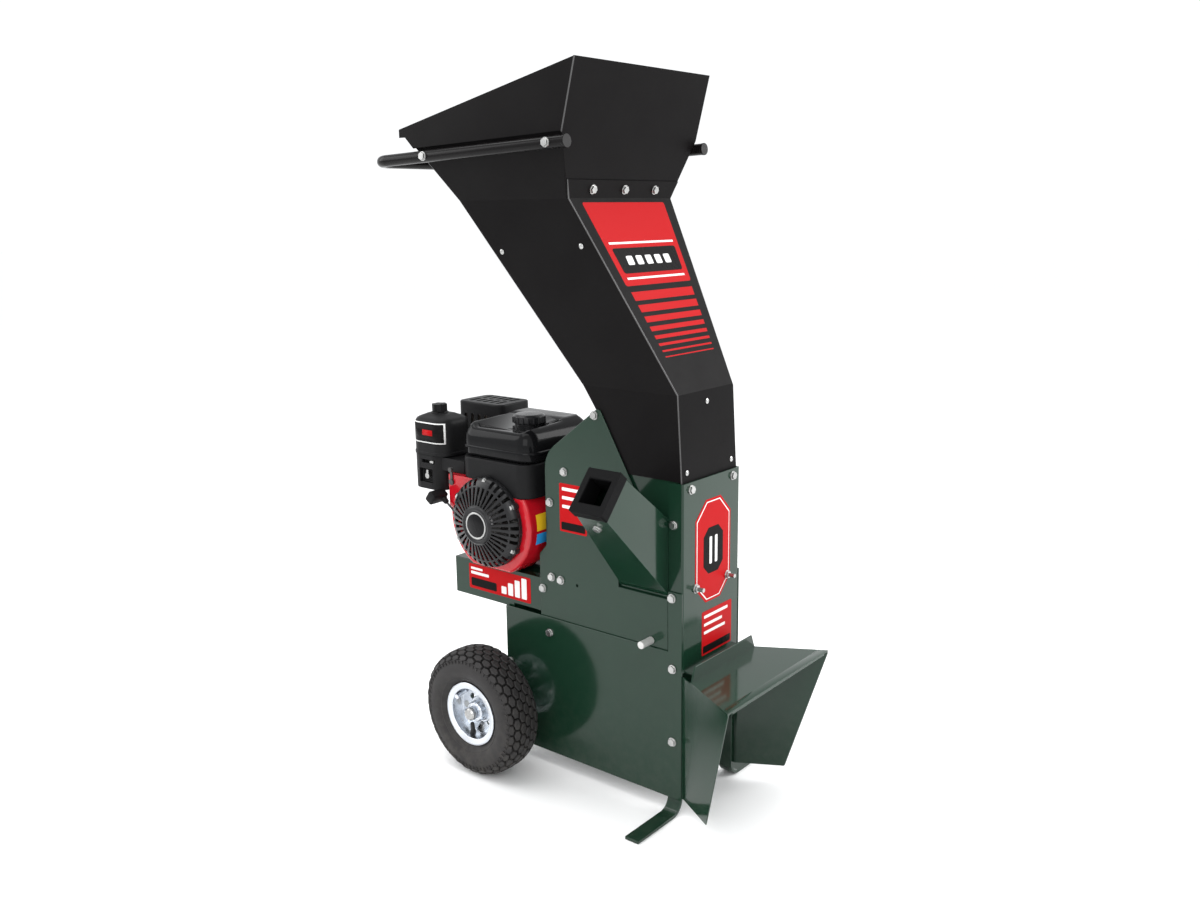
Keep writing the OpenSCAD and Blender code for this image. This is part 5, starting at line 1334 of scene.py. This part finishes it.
    def starter_grip(self) -> None:
        """Build the starter's grip with its neck and the cord that runs into the cover."""
        shape = Shape()
        cord = moved(self.cord_x, self.crank_y, self.crank_z) @ turned("X", self.cord_turn)
        cord = cord @ moved(0.0, self.cord_r, 0.0)
        shape.drum(cord @ moved(0.0, 0.0, -32.0), 2.2, 149.0, sides=14)
        shape.paint = 1
        neck = [(0.0, 105.0), (3.4, 105.0), (5.4, 107.0), (6.0, 112.0), (7.6, 118.0), (0.0, 118.0)]
        shape.lathe(neck, cord, 28)
        grip = shape.box((-33.0, -12.0, 117.2), (9.0, 12.0, 138.0), cord)
        shape.bevel(shape.rims(grip), 4.2, 4)
        shape.piece("starter_grip_and_cord", "starter_grip", (CORD, PLASTIC), ("recoil_grip",), smooth=50.0)


@dataclass
class Labels:
    """Printed films on the machine: plain colour fields of the real ones' size, with no words or signs."""

    inks: tuple[Finish, ...] = (FILM_RED, FILM_BLACK, FILM_WHITE)
    neck_widths: Pair = (78.0, 122.0)
    neck_length: float = 318.0
    neck_slope: Pair = (187.5, 338.0)
    shroud_profile: tuple[Pair, ...] = ((112.05, 64.0), (112.3, 64.0), (112.3, 100.0), (112.05, 100.0))
    band_corner: Pair = (-113.2, 588.8)
    band_plan: Pair = (91.4, 105.4)
    band_radius: float = 32.2
    band_end_x: float = -88.0

    def build(self) -> None:
        """Lay every film."""
        self.neck()
        self.panel_badge()
        self.notice("panel_low_film", moved(19.0, -0.05, 340.0) @ turned("X", 90.0), (100.0, 86.0))
        self.bench()
        side = moved(-93.05, 256.0, 553.0) @ turned("Z", -90.0) @ turned("X", 90.0)
        self.notice("side_film", side, (68.0, 96.0))
        self.blower()
        self.air_badge()

    def neck(self) -> None:
        """Lay the tall film on the front of the neck: a field over bars that thin out downwards."""
        slope = math.degrees(math.atan2(*self.neck_slope))
        film = Film(moved(0.0, 44.1, 848.0) @ turned("X", 90.0 - slope) @ moved(0.0, 0.0, 0.05), self.inks)
        foot, head = self.neck_widths

        def field(ink: Finish, low: float, high: float, level: int, inset: float, corner: float = 0) -> None:
            """Print a part of the film between two heights."""
            x0, x1 = (foot + (head - foot) * v / self.neck_length - inset for v in (low, high))
            film.layer(ink, [(-x0, low), (x0, low), (x1, high), (-x1, high)], level, corner)

        field(FILM_RED, 152.0, self.neck_length, 0, 0.0, 5.0)
        top = 140.0
        for height in (17.0, 14.0, 11.5, 9.0, 7.0, 5.0, 3.4, 2.2):
            field(FILM_RED, top - height, top, 0, 4.0)
            top -= height + 8.5
        field(FILM_BLACK, 176.0, 226.0, 1, 14.0, 6.0)
        field(FILM_WHITE, 234.0, 238.0, 1, 14.0)
        field(FILM_WHITE, 164.0, 168.0, 1, 14.0)
        for left in (-66.0, -38.0, -10.0, 18.0, 46.0):
            film.bar(FILM_WHITE, (left, 192.0), (left + 18.0, 210.0), 2, 3.0)
        film.lay("neck_film")

    def panel_badge(self) -> None:
        """Lay the upright eight-sided film on the front panel, with a dark field and two plain bars."""
        film = Film(moved(4.0, -0.05, 498.0) @ turned("X", 90.0), (FILM_RED, FILM_WHITE, FILM_BLACK))
        layers = ((FILM_RED, 58.0, 98.0, 34.0), (FILM_WHITE, 53.5, 93.5, 32.0), (FILM_RED, 51.5, 91.5, 31.4),
                  (FILM_BLACK, 32.0, 44.0, 16.0))
        for level, (ink, x, y, cut) in enumerate(layers):
            film.layer(ink, [
                (-x, cut - y), (cut - x, -y), (x - cut, -y), (x, cut - y), (x, y - cut), (x - cut, y),
                (cut - x, y), (-x, y - cut)], level)
        for left in (-13.0, 5.0):
            film.bar(FILM_WHITE, (left, -26.0), (left + 8.0, 26.0), len(layers), 2.0)
        film.lay("panel_film")

    def notice(self, name: str, place: Matrix, size: Pair) -> None:
        """Lay an upright film with a dark foot and plain pale lines.

        Args:
            name: the film's name.
            place: its middle, with Y up the film.
            size: its width and height.
        """
        film = Film(place, self.inks)
        x, y = size[0] / 2.0, size[1] / 2.0
        film.bar(FILM_RED, (-x, -y), (x, y), 0, 3.0)
        film.bar(FILM_BLACK, (4.0 - x, 4.0 - y), (x - 4.0, 0.32 * y - y + 4.0), 1, 2.0)
        for index, share in enumerate((0.92, 0.7, 0.82)):
            level = y - 14.0 - index * 0.36 * y
            right = 7.0 - x + share * (2.0 * x - 14.0)
            film.bar(FILM_WHITE, (7.0 - x, level), (right, level + 0.13 * y), 1, 1.2)
        film.lay(name)

    def bench(self) -> None:
        """Lay the long film on the bench, with a row of plain bars."""
        film = Film(moved(-90.05, 463.0, 362.0) @ turned("Z", -90.0) @ turned("X", 90.0), self.inks)
        film.bar(FILM_RED, (-88.0, -27.0), (88.0, 27.0), 0, 3.0)
        film.bar(FILM_BLACK, (-82.0, -21.0), (-8.0, -3.0), 1, 3.0)
        film.bar(FILM_WHITE, (-82.0, 5.0), (-30.0, 11.0), 1, 1.5)
        film.bar(FILM_WHITE, (-82.0, 15.0), (-48.0, 20.0), 1, 1.5)
        for left, top in ((6.0, -5.0), (25.0, 5.0), (44.0, 15.0), (63.0, 23.0)):
            film.bar(FILM_WHITE, (left, -21.0), (left + 14.0, top), 1, 2.0)
        film.lay("bench_film")

    def blower(self) -> None:
        """Lay two small films round the front of the engine's shroud."""
        films = (("yellow", FILM_YELLOW, 166.0, 17.0), ("blue", FILM_BLUE, 186.0, 12.0))
        for name, ink, start, sweep in films:
            shape = Shape()
            place = moved(0.0, Engine.crank_y, Engine.crank_z) @ turned("Y", -90.0)
            place = place @ turned("Z", 90.0 - start - sweep)
            shape.lathe(self.shroud_profile, place, 12, closed=True, sweep=math.radians(sweep))
            bmesh.ops.holes_fill(shape.bm, edges=shape.bm.edges, sides=4)
            shape.piece(f"shroud_{name}_film", "frame", (ink,))

    def band(self, shape: Shape, out: float, low: Pair, high: Pair) -> None:
        """Add a film that wraps the left face of the air cleaner.

        Args:
            shape: the mesh to add to.
            out: how far it stands off the cover.
            low: its lowest Y and Z.
            high: its highest Y and Z.
        """
        part = Shape()
        x, y = (value - out for value in self.band_corner)
        plan = (self.band_plan[0] + 2.0 * out, self.band_plan[1] + 2.0 * out)
        part.moulding((x, y, low[1]), plan, self.band_radius + out, [(0.0, high[1] - low[1])])
        caps = [face for face in part.bm.faces if abs(face.normal.z) > 0.5]
        bmesh.ops.delete(part.bm, geom=caps, context="FACES")
        part.cut((self.band_end_x, 0.0, 0.0), (1.0, 0.0, 0.0))
        part.cut((0.0, low[0], 0.0), (0.0, -1.0, 0.0))
        part.cut((0.0, high[0], 0.0), (0.0, 1.0, 0.0))
        bmesh.ops.recalc_face_normals(part.bm, faces=part.bm.faces)
        spare = bpy.data.meshes.new("band")
        part.bm.to_mesh(spare)
        part.bm.free()
        before = set(shape.bm.faces)
        shape.bm.from_mesh(spare)
        bpy.data.meshes.remove(spare)
        shape.fresh(before)

    def air_badge(self) -> None:
        """Lay the dark film with a pale border round the air cleaner's left face."""
        shape = Shape()
        shape.paint = 1
        self.band(shape, 0.35, (595.0, 640.0), (688.0, 684.0))
        shape.paint = 0
        self.band(shape, 0.6, (597.5, 642.5), (685.5, 681.5))
        shape.paint = 2
        self.band(shape, 0.85, (622.0, 656.0), (652.0, 668.0))
        wall(shape.piece("air_cleaner_film", "frame", (FILM_BLACK, FILM_WHITE, FILM_RED), whole=False), 0.3)


@dataclass
class Studio:
    """Pale floor, soft light and the camera of the photograph."""

    eye: tuple[float, float, float] = (-1655.69, -1091.37, 1109.31)
    yaw: float = -50.706
    pitch: float = 12.0587
    roll: float = -0.7223
    focal: float = 1114.03
    picture_width: float = 1200.0
    floor_size: float = 40.0
    floor_z: float = -0.0005
    sky: tuple[float, float, float, float] = (0.98, 0.99, 1.0, 1.0)
    sky_strength: float = 1.08
    aim: tuple[float, float, float] = (0.0, 0.0, 0.65)

    def build(self) -> None:
        """Set up the whole studio."""
        self.floor()
        self.world()
        self.lamp("key", (2.3, -2.7, 2.5), 2.6, 110.0)
        self.lamp("left", (-3.0, -1.4, 2.1), 2.2, 36.0)
        self.lamp("top", (-0.3, 0.4, 3.4), 2.8, 60.0)
        self.lamp("rear", (-1.6, 3.0, 2.2), 2.0, 36.0)
        self.camera()

    def floor(self) -> None:
        """Make a wide pale floor that isn't part of the object."""
        bm = bmesh.new()
        level = moved(0.0, 0.0, self.floor_z)
        bmesh.ops.create_grid(bm, x_segments=2, y_segments=2, size=self.floor_size, matrix=level)
        to_object(bm, "studio_floor", (FLOOR,), 30.0)

    def world(self) -> None:
        """Light the surroundings evenly."""
        world = bpy.data.worlds.new("studio")
        world.use_nodes = True
        back = next(node for node in world.node_tree.nodes if node.type == "BACKGROUND")
        back.inputs["Color"].default_value = self.sky
        back.inputs["Strength"].default_value = self.sky_strength
        bpy.context.scene.world = world
        bpy.context.scene.view_settings.view_transform = "Standard"

    def lamp(self, name: str, spot: Point, size: float, power: float) -> None:
        """Hang a square soft light that faces the machine.

        Args:
            name: its name.
            spot: its place in metres.
            size: its width in metres.
            power: its power in watts.
        """
        light = bpy.data.lights.new(name, "AREA")
        light.shape = "SQUARE"
        light.size = size
        light.energy = power
        made = bpy.data.objects.new(name, light)
        made.location = spot
        made.rotation_euler = (Vector(self.aim) - Vector(spot)).to_track_quat("-Z", "Y").to_euler()
        bpy.context.scene.collection.objects.link(made)

    def camera(self) -> None:
        """Set the camera where the photograph was taken."""
        yaw, pitch, roll = (math.radians(value) for value in (self.yaw, self.pitch, self.roll))
        ahead = Vector((-math.sin(yaw) * math.cos(pitch), math.cos(yaw) * math.cos(pitch), -math.sin(pitch)))
        right = Vector((math.cos(yaw), math.sin(yaw), 0.0))
        up = right.cross(ahead)
        side = right * math.cos(roll) + up * math.sin(roll)
        top = up * math.cos(roll) - right * math.sin(roll)
        lens = bpy.data.cameras.new("photograph")
        lens.sensor_fit = "HORIZONTAL"
        lens.sensor_width = 36.0
        lens.lens = self.focal * lens.sensor_width / self.picture_width
        made = bpy.data.objects.new("photograph", lens)
        turn = Matrix((side, top, -ahead)).transposed().to_4x4()
        made.matrix_world = Matrix.Translation((Vector(self.eye) + SHIFT) * MM) @ turn
        bpy.context.scene.collection.objects.link(made)
        bpy.context.scene.camera = made


def main() -> None:
    """Build the machine and its studio."""
    logging.basicConfig(level=logging.INFO, format="%(name)s: %(message)s")
    for part in (Studio(), Housing(), Hopper(), RunningGear(), RotorDrive(), Engine(), Labels()):
        part.build()


if __name__ == "__main__":
    main()
